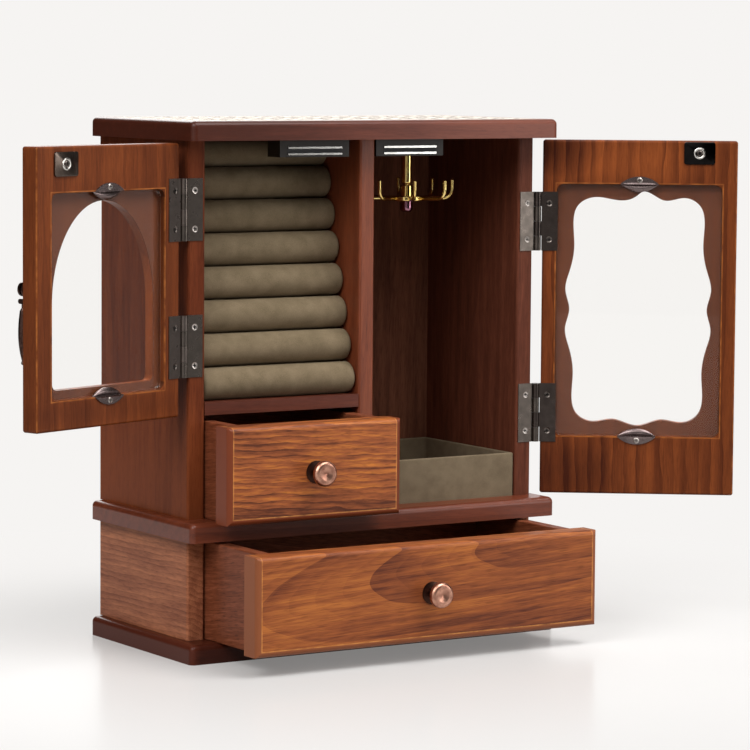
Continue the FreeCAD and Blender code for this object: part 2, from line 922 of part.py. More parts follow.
def scalloped_wire(left, right, low_z, high_z):
    """A smooth closed curve through the scallop's points, mirrored into all four quarters."""
    half_width = (right - left) / 2
    half_height = (high_z - low_z) / 2
    centre = Vector(left + half_width, 0, low_z + half_height)
    quarter = [(half_width * across, half_height * up) for across, up in SCALLOP]
    right_half = quarter + [(x, -z) for x, z in reversed(quarter[:-1])]
    left_half = [(-x, z) for x, z in reversed(right_half[1:-1])]
    points = [centre + Vector(x, 0, z) for x, z in right_half + left_half]
    curve = Part.BSplineCurve()
    curve.interpolate(Points=points, PeriodicFlag=True)
    knots = curve.getKnots()
    spans = []
    for first, last in zip(knots[:-1], knots[1:]):
        span = curve.copy()
        span.segment(first, last)
        spans.append(span.toShape())
    return Part.Wire(spans)


def make_window(side):
    """The cutter of the door's window, drawn in from the glass rebate by its margins."""
    shape, draw = ("arch", arched_wire) if side == "left" else ("scallop", scalloped_wire)
    near = value(door_x(side, f"{side}_hinge_stile + {shape}_side_margin"))
    far = value(door_x(side, f"{side}_rebate_far - {shape}_side_margin"))
    low_z = value(f"{side}_rebate_low + {shape}_end_margin")
    high_z = value(f"{side}_rebate_high - {shape}_end_margin")
    wire = draw(min(near, far), max(near, far), low_z, high_z)
    depth = value("2 * door_thickness")
    return prism(f"{side}_window", wire, value("door_outer - door_thickness / 2"), depth)


def rebate_outline(sketch, side, margin):
    """The rounded rectangle of the glass rebate, drawn in by a margin."""
    near = door_x(side, f"{side}_hinge_stile + {margin}")
    far = door_x(side, f"{side}_rebate_far - {margin}")
    left, right = (near, far) if side == "left" else (far, near)
    low = f"{side}_rebate_low + {margin}"
    high = f"{side}_rebate_high - {margin}"
    radius = f"rebate_corner_radius - {margin}"
    outline(sketch, [
        (f"{right} - ({radius})", low),
        (right, f"{low} + {radius}", radius, 1),
        (right, f"{high} - ({radius})"),
        (f"{right} - ({radius})", high, radius, 1),
        (f"{left} + {radius}", high),
        (left, f"{high} - ({radius})", radius, 1),
        (left, f"{low} + {radius}"),
        (f"{left} + {radius}", low, radius, 1),
    ])


def make_clip(label, side, edge, outward):
    """A lens-shaped spring clip, bent down from the frame onto the glass."""
    across = door_x(side, f"{side}_rebate_middle")
    half = "clip_width / 2"
    bend = f"{edge} - {outward} * clip_relief"
    step = f"{edge} - {outward} * (clip_relief + clip_thickness)"
    frame_end = f"{edge} + {outward} * {half}"
    glass_end = f"{edge} - {outward} * {half}"
    strip = new_body(f"{label}_strip")
    sketch = sketch_on(strip, "YZ_Plane", f"{across} - clip_length / 2")
    stops = [
        ("door_inner", frame_end),
        ("door_inner + clip_thickness", frame_end),
        ("door_inner + clip_thickness", step),
        ("glass_inner + clip_thickness", step),
        ("glass_inner + clip_thickness", glass_end),
        ("glass_inner", glass_end),
        ("glass_inner", bend),
        ("door_inner", bend),
    ]
    outline(sketch, stops)
    pad(strip, sketch, "clip_length")
    lens = new_body(f"{label}_lens")
    sketch = sketch_on(lens, "XZ_Plane", "-door_thickness")
    sweep = f"(clip_length ^ 2 / 4 + ({half}) ^ 2) / (2 * {half})"
    outline(sketch, [
        (f"{across} - clip_length / 2", edge, sweep, 1),
        (f"{across} + clip_length / 2", edge, sweep, 1),
    ])
    pad(lens, sketch, "2 * door_thickness")
    clip = doc.addObject("Part::Common", f"{label}_blank")
    clip.Base = strip
    clip.Tool = lens
    fastener = screw(
        f"{label}_screw",
        "trim_screw",
        across,
        "door_inner + clip_thickness",
        f"{edge} + {outward} * clip_width / 4",
        FORWARD,
    )
    return cut(label, clip, [fastener]), fastener


def make_strike(side):
    """The steel plate that the catch holds, screwed to the door's inner face."""
    across = door_x(side, "door_width - strike_inset")
    height = f"door_top - {side}_strike_drop"
    plate = board(
        f"{side}_strike_blank",
        (f"{across} - strike_length / 2", "door_inner", f"{height} - strike_height / 2"),
        (
            f"{across} + strike_length / 2",
            "door_inner + strike_thickness",
            f"{height} + strike_height / 2",
        ),
    )
    round_edges(plate, "strike_corner_radius", lambda edge, bounds: edge.YLength > TINY)
    face = "door_inner + strike_thickness"
    fastener = screw(f"{side}_strike_screw", "trim_screw", across, face, height, FORWARD)
    return cut(f"{side}_strike", plate, [fastener]), fastener


def make_pull(side):
    """A drop pull on the outer face: rosette, two ears, a pin and the hanging drop."""
    sign = SIDES[side]
    spot = {
        "x": door_x(side, "door_width - pull_inset"),
        "y": "door_outer",
        "z": f"{side}_door_middle",
    }
    turned = {"axis": "1; 0; 0", "angle": FORWARD}
    rosette = new_body(f"{side}_pull_rosette")
    head = "rosette_projection - rosette_thickness"
    revolve(rosette, [
        ("0", "-pull_stud_length"),
        ("pull_stud_radius", "-pull_stud_length"),
        ("pull_stud_radius", "0"),
        ("pull_plate_radius", "0"),
        ("pull_plate_radius", "pull_plate_thickness"),
        ("pull_neck_radius", "pull_plate_thickness"),
        ("pull_neck_radius", head),
        ("rosette_radius", f"{head} + rosette_bevel"),
        ("rosette_radius", "rosette_projection - rosette_bevel"),
        ("rosette_face_radius", "rosette_projection"),
        ("0", "rosette_projection"),
    ])
    foot = rod(f"{side}_pull_foot", "pull_foot_radius", "pull_plate_thickness", y="-pivot_drop")
    bridge = box(
        f"{side}_pull_bridge",
        ("-pull_foot_radius", "-pivot_drop", "0"),
        ("pull_foot_radius", "0", "pull_plate_thickness"),
    )
    ears = []
    for name, low_x in (("near", "ear_spacing / 2"), ("far", "-ear_spacing / 2 - ear_thickness")):
        high_x = f"{low_x} + ear_thickness"
        ears.append(box(
            f"{side}_pull_{name}_ear",
            (low_x, "-pivot_drop - ear_radius", "0"),
            (high_x, "ear_radius - pivot_drop", "pivot_projection"),
        ))
        ears.append(rod(
            f"{side}_pull_{name}_ear_end", "ear_radius", "ear_thickness",
            x=low_x, y="-pivot_drop", z="pivot_projection", axis="0; 1; 0", angle="90",
        ))
    axle = rod(
        f"{side}_pull_axle", "pull_pin_radius", "ear_spacing + 2 * ear_thickness",
        x="-ear_spacing / 2 - ear_thickness", y="-pivot_drop", z="pivot_projection",
        axis="0; 1; 0", angle="90",
    )
    blank = fuse(f"{side}_pull_blank", [rosette, foot, bridge] + ears)
    mount = cut(f"{side}_pull", blank, [axle])
    mount = moved(f"{side}_pull_on_door", [mount], **spot, **turned)
    axle = moved(f"{side}_pull_axle_on_door", [axle], **spot, **turned)

    shaft = new_body(f"{side}_drop_shaft")
    ball = "drop_ball_radius"
    revolve(shaft, [
        ("0", "-drop_length"),
        (ball, f"{ball} - drop_length", ball, 1),
        ("drop_foot_radius", f"2 * {ball} - drop_length"),
        ("drop_taper_radius", "-drop_taper_depth"),
        ("drop_belly_radius", "-drop_belly_depth", "drop_lower_bow", 1),
        ("drop_shoulder_radius", "-drop_shoulder_depth", "drop_upper_bow", 1),
        ("drop_stem_radius", "-drop_stem_length"),
        ("drop_stem_radius", "0"),
        ("0", "0"),
    ])
    eye_length = "(ear_spacing - 2 * pull_eye_clearance)"
    eye = rod(
        f"{side}_drop_eye", "pull_eye_radius", eye_length,
        x=f"-{eye_length} / 2", axis="0; 1; 0", angle="90",
    )
    hole = rod(
        f"{side}_drop_bore", "pull_pin_radius + pin_clearance", "ear_spacing",
        x="-ear_spacing / 2", axis="0; 1; 0", angle="90",
    )
    drop = cut(f"{side}_drop", fuse(f"{side}_drop_blank", [shaft, eye]), [hole])
    drop = moved(
        f"{side}_drop_on_door",
        [drop],
        x=spot["x"],
        y="door_outer - pivot_projection",
        z=f"{spot['z']} - pivot_drop",
    )
    return mount, axle, drop


def make_door(side):
    """A door around its pin line, closed, and then opened as it stands at rest."""
    hinges = make_hinges(side)
    swing = door_swing(side)
    near = door_x(side, "0")
    far = door_x(side, "door_width")
    left, right = (near, far) if side == "left" else (far, near)
    frame = new_body(f"{side}_door_board")
    sketch = sketch_on(frame, "XZ_Plane", "-(door_inner)")
    rectangle(sketch, left, f"{side}_door_bottom", right, "door_top")
    pad(frame, sketch, "door_thickness")
    round_edges(frame, "door_edge_radius", any_edge)
    rebate = sketch_on(frame, "XZ_Plane", "-(door_inner)")
    rebate_outline(rebate, side, "0")
    pocket(frame, rebate, "rebate_depth")

    glass = new_body(f"{side}_glass_pane")
    sketch = sketch_on(glass, "XZ_Plane", "-(glass_inner)")
    rebate_outline(sketch, side, "glass_clearance")
    pad(glass, sketch, "glass_thickness")

    upper_clip, upper_screw = make_clip(f"{side}_upper_clip", side, f"{side}_rebate_high", "1")
    lower_clip, lower_screw = make_clip(f"{side}_lower_clip", side, f"{side}_rebate_low", "-1")
    strike, strike_screw = make_strike(side)
    mount, axle, drop = make_pull(side)
    trim_screws = [upper_screw, lower_screw, strike_screw]
    tools = hinges["door_leaves"] + hinges["door_screws"] + trim_screws
    tools += [mount, make_window(side)]
    node(f"{side}_door_frame", [cut(f"{side}_door", frame, tools)], **swing)
    node(f"{side}_door_glass", [glass], **swing)
    node(f"{side}_door_clips", [upper_clip, lower_clip], **swing)
    node(f"{side}_door_trim_screws", trim_screws, **swing)
    node(f"{side}_door_strike_plate", [strike], **swing)
    node(f"{side}_pull_mount", [mount], **swing)
    node(f"{side}_pull_pin", [axle], **swing)
    node(f"{side}_pull_drop", [drop], **swing)
    node(f"{side}_hinge_door_leaves", hinges["door_leaves"], **swing)
    node(f"{side}_hinge_door_screws", hinges["door_screws"], **swing)
    return hinges


def make_catch(side):
    """A magnetic catch under the top plate: housing, two steel poles, a magnet, two screws."""
    centre = f"{side}_catch_centre"
    pole_front = "catch_front - pole_projection"
    pole_back = f"{pole_front} + pole_depth"
    level = "(top_bottom - pole_drop)"
    left = f"{centre} - pole_length / 2"
    right = f"{centre} + pole_length / 2"
    housing = board(
        f"{side}_catch_block",
        (f"{centre} - catch_length / 2", "catch_front", "catch_bottom"),
        (f"{centre} + catch_length / 2", "catch_front + catch_depth", "top_bottom"),
    )
    magnet = board(
        f"{side}_catch_magnet",
        (left, "catch_front", f"{level} - magnet_thickness / 2"),
        (right, pole_back, f"{level} + magnet_thickness / 2"),
    )
    poles = [
        board(f"{side}_{name}_pole", (left, pole_front, low_z), (right, pole_back, high_z))
        for name, low_z, high_z in (
            (
                "lower",
                f"{level} - magnet_thickness / 2 - pole_thickness",
                f"{level} - magnet_thickness / 2",
            ),
            (
                "upper",
                f"{level} + magnet_thickness / 2",
                f"{level} + magnet_thickness / 2 + pole_thickness",
            ),
        )
    ]
    screws = [
        screw(
            f"{side}_{name}_catch_screw",
            "catch_screw",
            f"{centre} {sign} (catch_length / 2 - catch_screw_inset)",
            "catch_front + catch_depth / 2",
            "catch_bottom",
            UPWARD,
        )
        for name, sign in (("left", "-"), ("right", "+"))
    ]
    housing = cut(f"{side}_catch", housing, [magnet] + poles + screws)
    return housing, magnet, poles, screws


def make_carousel():
    """Post under the top plate, and a hub with eight hooks that turns on its spindle."""
    axis = {"x": "carousel_x"}
    post = new_body("carousel_post_turning")
    revolve(post, [
        ("0", "spindle_end"),
        ("spindle_radius", "spindle_end"),
        ("spindle_radius", "post_end"),
        ("post_radius - post_end_radius", "post_end"),
        ("post_radius", "post_end + post_end_radius", "post_end_radius", 1),
        ("post_radius", "top_bottom - flange_thickness"),
        ("flange_radius", "top_bottom - flange_thickness"),
        ("flange_radius", "top_bottom"),
        ("0", "top_bottom"),
    ])
    bore = "spindle_radius + hub_clearance"
    hub = new_body("carousel_hub_turning")
    revolve(hub, [
        (bore, "hub_bottom"),
        ("hub_disc_radius - hub_edge_radius", "hub_bottom"),
        ("hub_disc_radius", "hub_bottom + hub_edge_radius", "hub_edge_radius", 1),
        ("hub_disc_radius", "hub_disc_top - hub_edge_radius"),
        ("hub_disc_radius - hub_edge_radius", "hub_disc_top", "hub_edge_radius", 1),
        ("hub_boss_radius", "hub_disc_top"),
        ("hub_boss_radius", "hub_top - hub_edge_radius"),
        ("hub_boss_radius - hub_edge_radius", "hub_top", "hub_edge_radius", 1),
        (bore, "hub_top"),
    ])
    nut = new_body("cap_nut_turning")
    revolve(nut, [
        ("0", "cap_nut_bottom"),
        ("cap_nut_radius - cap_nut_dome_radius", "cap_nut_bottom"),
        (
            "cap_nut_radius",
            "cap_nut_bottom + cap_nut_dome_radius",
            "cap_nut_dome_radius",
            1,
        ),
        ("cap_nut_radius", "cap_nut_top"),
        ("spindle_radius", "cap_nut_top"),
        ("spindle_radius", "spindle_end"),
        ("0", "spindle_end"),
    ])
    wire = "hook_wire_radius"
    bend_x = "(hook_reach - hook_bend_radius)"
    bend_z = "(hook_level + hook_bend_radius)"
    tip_z = "(hook_level + hook_tip_height - hook_wire_radius)"
    arm = rod(
        "hook_arm", wire, f"{bend_x} - hook_root_radius",
        x="hook_root_radius", z="hook_level", axis="0; 1; 0", angle="90",
    )
    bend = place(
        primitive("Torus", "hook_bend", Radius1="hook_bend_radius", Radius2=wire, Angle3="90"),
        bend_x, "0", bend_z, "1; 1; -1", "120",
    )
    upright = rod("hook_upright", wire, f"{tip_z} - {bend_z}", x="hook_reach", z=bend_z)
    tip = place(primitive("Sphere", "hook_tip", Radius=wire), "hook_reach", "0", tip_z)
    hook = fuse("hook_wire", [arm, bend, upright, tip])
    count = int(value("hook_count"))
    hooks = [
        moved(f"hook_{number + 1}", [hook], angle=f"({number} + 0.5) * 360 / {count}")
        for number in range(count)
    ]
    screws = [
        screw(
            f"flange_screw_{name}",
            "flange_screw",
            f"{sign} flange_screw_reach",
            "0",
            "top_bottom - flange_thickness",
            UPWARD,
        )
        for name, sign in (("left", "-"), ("right", "+"))
    ]
    screws = [moved(f"{item.Label}_in_case", [item], **axis) for item in screws]
    post = moved("carousel_post_in_case", [post], **axis)
    node("carousel_post", [cut("carousel_post", post, screws)])
    node("carousel_hub", [cut("carousel_hub", hub, hooks)], **axis)
    node("carousel_hooks", hooks, **axis)
    node("carousel_cap_nut", [nut], **axis)
    return screws


top_plate = make_plates()
make_lower_case()
make_upper_case()
make_ring_bed()
make_tray()
make_drawer(
    "large",
    bay_left="-inner_half_width",
    bay_right="inner_half_width",
    floor="plate_thickness",
    ceiling="mid_bottom",
    front_left="large_front_inset - case_half_width",
    front_right="case_half_width - large_front_inset",
)
make_drawer(
    "small",
    bay_left="-inner_half_width",
    bay_right="partition_left",
    floor="mid_top",
    ceiling="shelf_bottom",
    front_left="small_front_inset - case_half_width",
    front_right="partition_left + small_front_overlap",
)

door_hinges = {side: make_door(side) for side in SIDES}
for side, hinges in door_hinges.items():
    panel = make_side(f"upper_{side}_board", side, "mid_top", "top_bottom")
    fitted = cut(f"upper_{side}", panel, [hinges["case_leaves"], hinges["case_screws"]])
    node(f"upper_{side}_side", [fitted])
node("hinge_case_leaves", [hinges["case_leaves"] for hinges in door_hinges.values()])
node("hinge_case_screws", [hinges["case_screws"] for hinges in door_hinges.values()])
node("hinge_pins", [hinges["pins"] for hinges in door_hinges.values()])

catches = [make_catch(side) for side in SIDES]
node("catch_housings", [housing for housing, _, _, _ in catches])
node("catch_magnets", [magnet for _, magnet, _, _ in catches])
node("catch_pole_plates", [pole for _, _, poles, _ in catches for pole in poles])
ceiling_screws = make_carousel()
for _, _, _, screws in catches:
    ceiling_screws = ceiling_screws + screws
node("ceiling_screws", ceiling_screws)
node("top_plate", [cut("top_plate_drilled", top_plate, ceiling_screws)])

doc.recompute()
for item in doc.Objects:
    if "Invalid" in item.State or "Error" in item.State:
        raise ValueError(f"{item.Label} is {item.State}")
for item in nodes:
    if item.Shape.isNull() or not item.Shape.isValid():
        raise ValueError(f"{item.Label} has no valid shape")

os.makedirs("parts", exist_ok=True)
for item in nodes:
    item.Shape.exportStep(f"parts/{item.Label}.step")
    count = len(item.Shape.Solids)
    print(f"{item.Label}: {count} solid(s), {item.Shape.Volume / 1000:.2f} cm3")
print(len(nodes), "nodes")
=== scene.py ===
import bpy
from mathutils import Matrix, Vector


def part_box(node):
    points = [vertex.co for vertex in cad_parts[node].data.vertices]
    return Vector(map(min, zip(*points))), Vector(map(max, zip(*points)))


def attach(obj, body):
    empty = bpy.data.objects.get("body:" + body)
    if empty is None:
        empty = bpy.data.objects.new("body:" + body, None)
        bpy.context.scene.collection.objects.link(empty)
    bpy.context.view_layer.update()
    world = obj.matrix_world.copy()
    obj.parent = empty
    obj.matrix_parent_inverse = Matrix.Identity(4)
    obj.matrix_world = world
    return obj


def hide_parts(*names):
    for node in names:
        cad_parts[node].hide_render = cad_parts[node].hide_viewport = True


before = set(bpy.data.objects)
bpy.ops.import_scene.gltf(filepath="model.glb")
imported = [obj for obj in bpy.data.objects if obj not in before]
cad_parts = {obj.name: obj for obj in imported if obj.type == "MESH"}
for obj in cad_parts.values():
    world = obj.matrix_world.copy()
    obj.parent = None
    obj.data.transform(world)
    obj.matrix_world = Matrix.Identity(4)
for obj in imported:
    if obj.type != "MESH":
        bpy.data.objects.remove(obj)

import ast
import logging
import math
import random
from collections.abc import Callable
from dataclasses import dataclass, replace
from enum import Enum

import bmesh
import bpy
from bmesh.types import BMEdge, BMesh, BMVert
from bpy.types import Material, Mesh, Node, NodeSocket, NodeTree, Object
from mathutils import Matrix, Vector

Pair = tuple[float, float]
Triple = tuple[float, float, float]
Colour = tuple[float, float, float, float]

LOG = logging.getLogger("organizer")
MM = 0.001
TO_METRES = Matrix.Diagonal((MM, MM, MM, 1.0))
NEARLY = 0.01  # Two heights in millimetres, or two shares, that are closer count as one.
TINY = 1e-6  # A length in metres, or a sine, that is too small to count.
MIX_FACTOR, MIX_A, MIX_B, MIX_RESULT = 0, 6, 7, 2
COLOURS = {"data_type": "RGBA"}
DARKENING = {"data_type": "RGBA", "blend_type": "MULTIPLY"}
OPERATORS = {
    ast.Add: "ADD", ast.Sub: "SUBTRACT", ast.Mult: "MULTIPLY", ast.Div: "DIVIDE", ast.Pow: "POWER",
}
FUNCTIONS = {
    "least": "MINIMUM", "most": "MAXIMUM", "size": "ABSOLUTE", "root": "SQRT", "cosine": "COSINE",
    "rest": "FRACT", "bearing": "ARCTAN2", "below": "LESS_THAN", "above": "GREATER_THAN",
    "near": "COMPARE",
}


def linear(code: str) -> Colour:
    """Turn an sRGB hex colour into linear light.

    Args:
        code: The colour as # and six hex digits.

    Returns:
        Red, green, blue and a full alpha, all linear.
    """
    channels = [int(code[start:start + 2], 16) / 255 for start in (1, 3, 5)]
    bright = [c / 12.92 if c <= 0.04045 else ((c + 0.055) / 1.055) ** 2.4 for c in channels]
    return bright[0], bright[1], bright[2], 1.0


def feed(node: Node, inputs: dict) -> None:
    """Give a node its inputs.

    Args:
        node: The node.
        inputs: Socket names or numbers, each with a value or a socket to link from.
    """
    for key, value in inputs.items():
        if isinstance(value, NodeSocket):
            node.id_data.links.new(value, node.inputs[key])
        else:
            node.inputs[key].default_value = value


def add_node(
    tree: NodeTree,
    kind: str,
    inputs: dict | None = None,
    settings: dict | None = None,
    stops: list[tuple[float, str]] | None = None,
) -> Node:
    """Add a node with its values or links, its settings and a ramp's colours.

    Args:
        tree: The node tree that gets the node.
        kind: The node's type, without the ShaderNode that starts it.
        inputs: Socket names or numbers, each with a value or a socket to link from.
        settings: Attributes of the node.
        stops: For a ramp, its positions and hex colours.

    Returns:
        The new node.
    """
    node = tree.nodes.new(f"ShaderNode{kind}")
    for key, value in (settings or {}).items():
        setattr(node, key, value)
    feed(node, inputs or {})
    for index, (position, colour) in enumerate(stops or []):
        elements = node.color_ramp.elements
        element = elements[index] if index < 2 else elements.new(position)
        element.position = position
        element.color = linear(colour)
    return node


def formula(tree: NodeTree, text: str, **known: float | NodeSocket) -> NodeSocket:
    """Lay out a sum as nodes, so that a pattern's geometry reads as a line of arithmetic.

    Args:
        tree: The node tree that gets the nodes.
        text: The sum, with + - * / **, and the words that FUNCTIONS lists.
        known: What each other name in it stands for, a number or a socket.

    Returns:
        The socket that holds the result.
    """

    def work(part: ast.expr) -> float | NodeSocket:
        """Work out one part of the sum and what it is made of.

        Args:
            part: The part.

        Returns:
            Its number, or the socket that holds its result.
        """
        if isinstance(part, ast.Constant):
            return float(part.value)
        if isinstance(part, ast.Name):
            return known[part.id]
        if isinstance(part, ast.BinOp):
            operation, terms = OPERATORS[type(part.op)], [part.left, part.right]
        else:
            operation, terms = FUNCTIONS[part.func.id], part.args
        values = dict(enumerate(work(term) for term in terms))
        return add_node(tree, "Math", values, {"operation": operation}).outputs[0]

    return work(ast.parse(text).body[0].value)


def stains_and_painted_light(
    tree: NodeTree, colour: NodeSocket | Colour, *stains: tuple[NodeSocket, str]
) -> NodeSocket:
    """Lay stains, paints, painted shade and painted highlights over a colour.

    Args:
        tree: The node tree that gets the nodes.
        colour: The colour below.
        stains: For each, how much it covers at a point, and its hex colour.

    Returns:
        The colour with its stains.
    """
    for share, stain in stains:
        inputs = {MIX_FACTOR: share, MIX_A: colour, MIX_B: linear(stain)}
        colour = add_node(tree, "Mix", inputs, COLOURS).outputs[MIX_RESULT]
    return colour


@dataclass(frozen=True)
class Finish:
    """A finish that a surface can wear. Its name says what it is made of and how."""

    name: str

    def material(self) -> Material:
        """The finish as a material, built at its first use."""
        return bpy.data.materials.get(self.name) or self.build()

    def build(self) -> Material:
        """Build the material."""
        raise NotImplementedError

    def start(self) -> tuple[Material, NodeTree, Node]:
        """Start the material.

        Returns:
            The material, its node tree and its principled surface.
        """
        material = bpy.data.materials.new(self.name)
        material.use_nodes = True
        return material, material.node_tree, material.node_tree.nodes["Principled BSDF"]


class Grain(Enum):
    """The way a board's fibres run, as the turn in degrees that lays the X axis along them."""

    ACROSS = (0.0, 0.0, 0.0)
    DEEP = (0.0, 0.0, 90.0)
    UPRIGHT = (0.0, -90.0, 0.0)


@dataclass(frozen=True)
class Patch:
    """A lighter or darker area of a board, an oval that fades to its rim. Millimetres.

    A positive strength darkens and a negative one lightens. Some patches are the wood's own
    tone and some are painted light and shade, as each finish's comment says.
    """

    across: float
    up: float
    half_width: float
    half_height: float
    strength: float


@dataclass(frozen=True)
class WoodFinish(Finish):
    """Stained ash under a satin lacquer: dark growth rings, long streaks, fine open pores.

    Lengths are millimetres. The rings are circles about a line through the pith point, so a
    board cut near that line shows arched figure and one cut far from it straight lines. The
    stain settles in the late wood of each ring, so a ring darkens slowly and ends sharply.
    The fibres follow the rings' tilt, or their own where a figured board gives it. The bend
    makes a ring darken late, the mean is what it then takes on average, and the steady share
    of a ring never fades.
    """

    light: str
    middle: str
    dark: str
    grain: Grain
    pith: Triple
    tilt: Triple = (0.0, 1.5, 1.5)
    shift: Triple = (0.0, 0.0, 0.0)
    turn: float = 0.0
    ring_spacing: float = 7.0
    ring_share: float = 0.5
    ring_start: float = 0.0
    ring_fade: float = 26.0
    ring_bend: float = 1.6
    ring_mean: float = 0.42
    ring_steady: float = 0.65
    fine_spacing: float = 3.0
    fine_share: float = 0.0
    wander: float = 2.0
    wander_width: float = 24.0
    stretch: float = 0.07
    fibre_tilt: Triple | None = None
    fibre_stretch: float = 0.07
    streak_width: float = 5.0
    streak_share: float = 0.22
    hair_width: float = 0.9
    hair_share: float = 0.12
    pore_width: float = 0.5
    pore_depth: float = 0.3
    pore_relief: float = 0.06
    patches: tuple[Patch, ...] = ()
    roughness: float = 0.36
    specular: float = 0.2

    def build(self) -> Material:
        """Build the wood's material.

        Returns:
            The wood.
        """
        material, tree, surface = self.start()
        level = add_node(
            tree, "Mapping",
            {
                0: add_node(tree, "TexCoord").outputs["Object"],
                "Location": Vector(self.shift) * MM,
                "Rotation": (0.0, 0.0, math.radians(self.turn)),
                "Scale": (MM, MM, MM),
            },
            {"vector_type": "TEXTURE"},
        ).outputs[0]
        rings = self.along(tree, level, self.tilt, self.stretch)
        fibres = self.along(tree, level, self.fibre_tilt or self.tilt, self.fibre_stretch)
        stops = [(0.05, self.light), (0.5, self.middle), (0.95, self.dark)]
        depth = self.depth(tree, level, rings, fibres)
        colour = add_node(tree, "ValToRGB", {0: depth}, stops=stops).outputs[0]
        pores = self.pores(tree, fibres)
        darker = {MIX_FACTOR: self.pore_depth, MIX_A: colour, MIX_B: pores}
        colour = add_node(tree, "Mix", darker, DARKENING).outputs[MIX_RESULT]
        relief = {"Strength": 0.1, "Distance": self.pore_relief * MM, "Height": pores}
        feed(surface, {
            "Base Color": self.trim(tree, level, colour),
            "Normal": add_node(tree, "Bump", relief).outputs[0],
            "Roughness": self.roughness,
            "Specular IOR Level": self.specular,
        })
        return material

    def along(
        self, tree: NodeTree, level: NodeSocket, tilt: Triple, stretch: float
    ) -> NodeSocket:
        """Lay the X axis along the board, through its pith, and draw its length in.

        Args:
            tree: The material's node tree.
            level: The point in the object's own directions, in millimetres.
            tilt: How the board leans from its grain's direction, in degrees.
            stretch: The share of the length that is left.

        Returns:
            The point in the board.
        """
        turn = [math.radians(a + b) for a, b in zip(self.grain.value, tilt)]
        inputs = {0: level, "Location": self.pith, "Rotation": turn}
        board = add_node(tree, "Mapping", inputs, {"vector_type": "TEXTURE"}).outputs[0]
        return add_node(tree, "Mapping", {0: board, "Scale": (stretch, 1.0, 1.0)}).outputs[0]

    def streaks(
        self, tree: NodeTree, place: NodeSocket, width: float, detail: float
    ) -> NodeSocket:
        """Uneven streaks, from -1 where they are pale to 1 where they are dark.

        Args:
            tree: The material's node tree.
            place: The point in the board, in millimetres.
            width: The streaks' width in millimetres.
            detail: How many finer layers they have.

        Returns:
            The streaks.
        """
        inputs = {"Vector": place, "Scale": 1 / width, "Detail": detail}
        noise = add_node(tree, "TexNoise", inputs).outputs["Fac"]
        spread = {"Value": noise, "From Min": 0.3, "From Max": 0.7, "To Min": -1.0, "To Max": 1.0}
        return add_node(tree, "MapRange", spread).outputs[0]

    def depth(
        self, tree: NodeTree, level: NodeSocket, rings: NodeSocket, fibres: NodeSocket
    ) -> NodeSocket:
        """How deep the stain is, with the patches' painted light and shade added, from 0 at
        its palest to 1 at its darkest.

        Args:
            tree: The material's node tree.
            level: The point in the object's own directions.
            rings: The point among the board's rings.
            fibres: The point among its fibres.

        Returns:
            The depth of the stain.
        """
        depth = formula(
            tree,
            "0.5 + ring_share * (wide ** bend - mean) * (steady + unsteady * fade)"
            " + fine_share * (fine - 0.5) + streak_share * streaks + hair_share * hairs",
            ring_share=self.ring_share, bend=self.ring_bend, mean=self.ring_mean,
            steady=self.ring_steady, unsteady=1 - self.ring_steady,
            wide=self.rings(tree, rings, self.ring_spacing),
            fade=self.streaks(tree, fibres, self.ring_fade, 2.0),
            fine_share=self.fine_share, fine=self.rings(tree, rings, self.fine_spacing),
            streak_share=self.streak_share,
            streaks=self.streaks(tree, fibres, self.streak_width, 4.0),
            hair_share=self.hair_share, hairs=self.streaks(tree, fibres, self.hair_width, 3.0),
        )
        x, _, z = add_node(tree, "SeparateXYZ", {0: level}).outputs
        # Patches darken or lighten the board: some are its own tone, some painted light and shade.
        for patch in self.patches:
            depth = formula(
                tree,
                "depth + strength * most(0, 1 - ((x - across) / wide) ** 2"
                " - ((z - up) / high) ** 2)",
                depth=depth, strength=patch.strength, x=x, across=patch.across,
                wide=patch.half_width, z=z, up=patch.up, high=patch.half_height,
            )
        return depth

    def rings(self, tree: NodeTree, place: NodeSocket, spacing: float) -> NodeSocket:
        """Growth rings, from 0 in the early wood to 1 in the late.

        Args:
            tree: The material's node tree.
            place: The point among the board's rings.
            spacing: The distance between two rings.

        Returns:
            The rings.
        """
        scale = 2 * math.pi / 20 / spacing
        inputs = {
            "Vector": place, "Scale": scale, "Distortion": 2 * math.pi * self.wander / spacing,
            "Detail": 2.0, "Detail Scale": 1 / self.wander_width / scale,
            "Detail Roughness": 0.5, "Phase Offset": -2 * math.pi * self.ring_start / spacing,
        }
        settings = {"wave_type": "RINGS", "rings_direction": "X", "wave_profile": "SAW"}
        return add_node(tree, "TexWave", inputs, settings).outputs["Fac"]

    def pores(self, tree: NodeTree, fibres: NodeSocket) -> NodeSocket:
        """Draw the open pores as short dark dashes, as coarse as a picture can show them.

        Args:
            tree: The material's node tree.
            fibres: The point among the board's fibres.

        Returns:
            The share of the light that comes back.
        """
        inputs = {"Vector": fibres, "Scale": 1 / self.pore_width, "Detail": 1.0}
        dashes = add_node(tree, "TexNoise", inputs).outputs["Fac"]
        stops = [(0.34, "#4A352C"), (0.47, "#FFFFFF")]
        return add_node(tree, "ValToRGB", {0: dashes}, stops=stops).outputs[0]

    def trim(self, tree: NodeTree, level: NodeSocket, colour: NodeSocket) -> NodeSocket:
        """Colour the board's edges. A plain board has none to colour.

        Args:
            tree: The material's node tree.
            level: The point in the object's own directions, in millimetres.
            colour: The colour of the board.

        Returns:
            The colour with its edges.
        """
        return colour


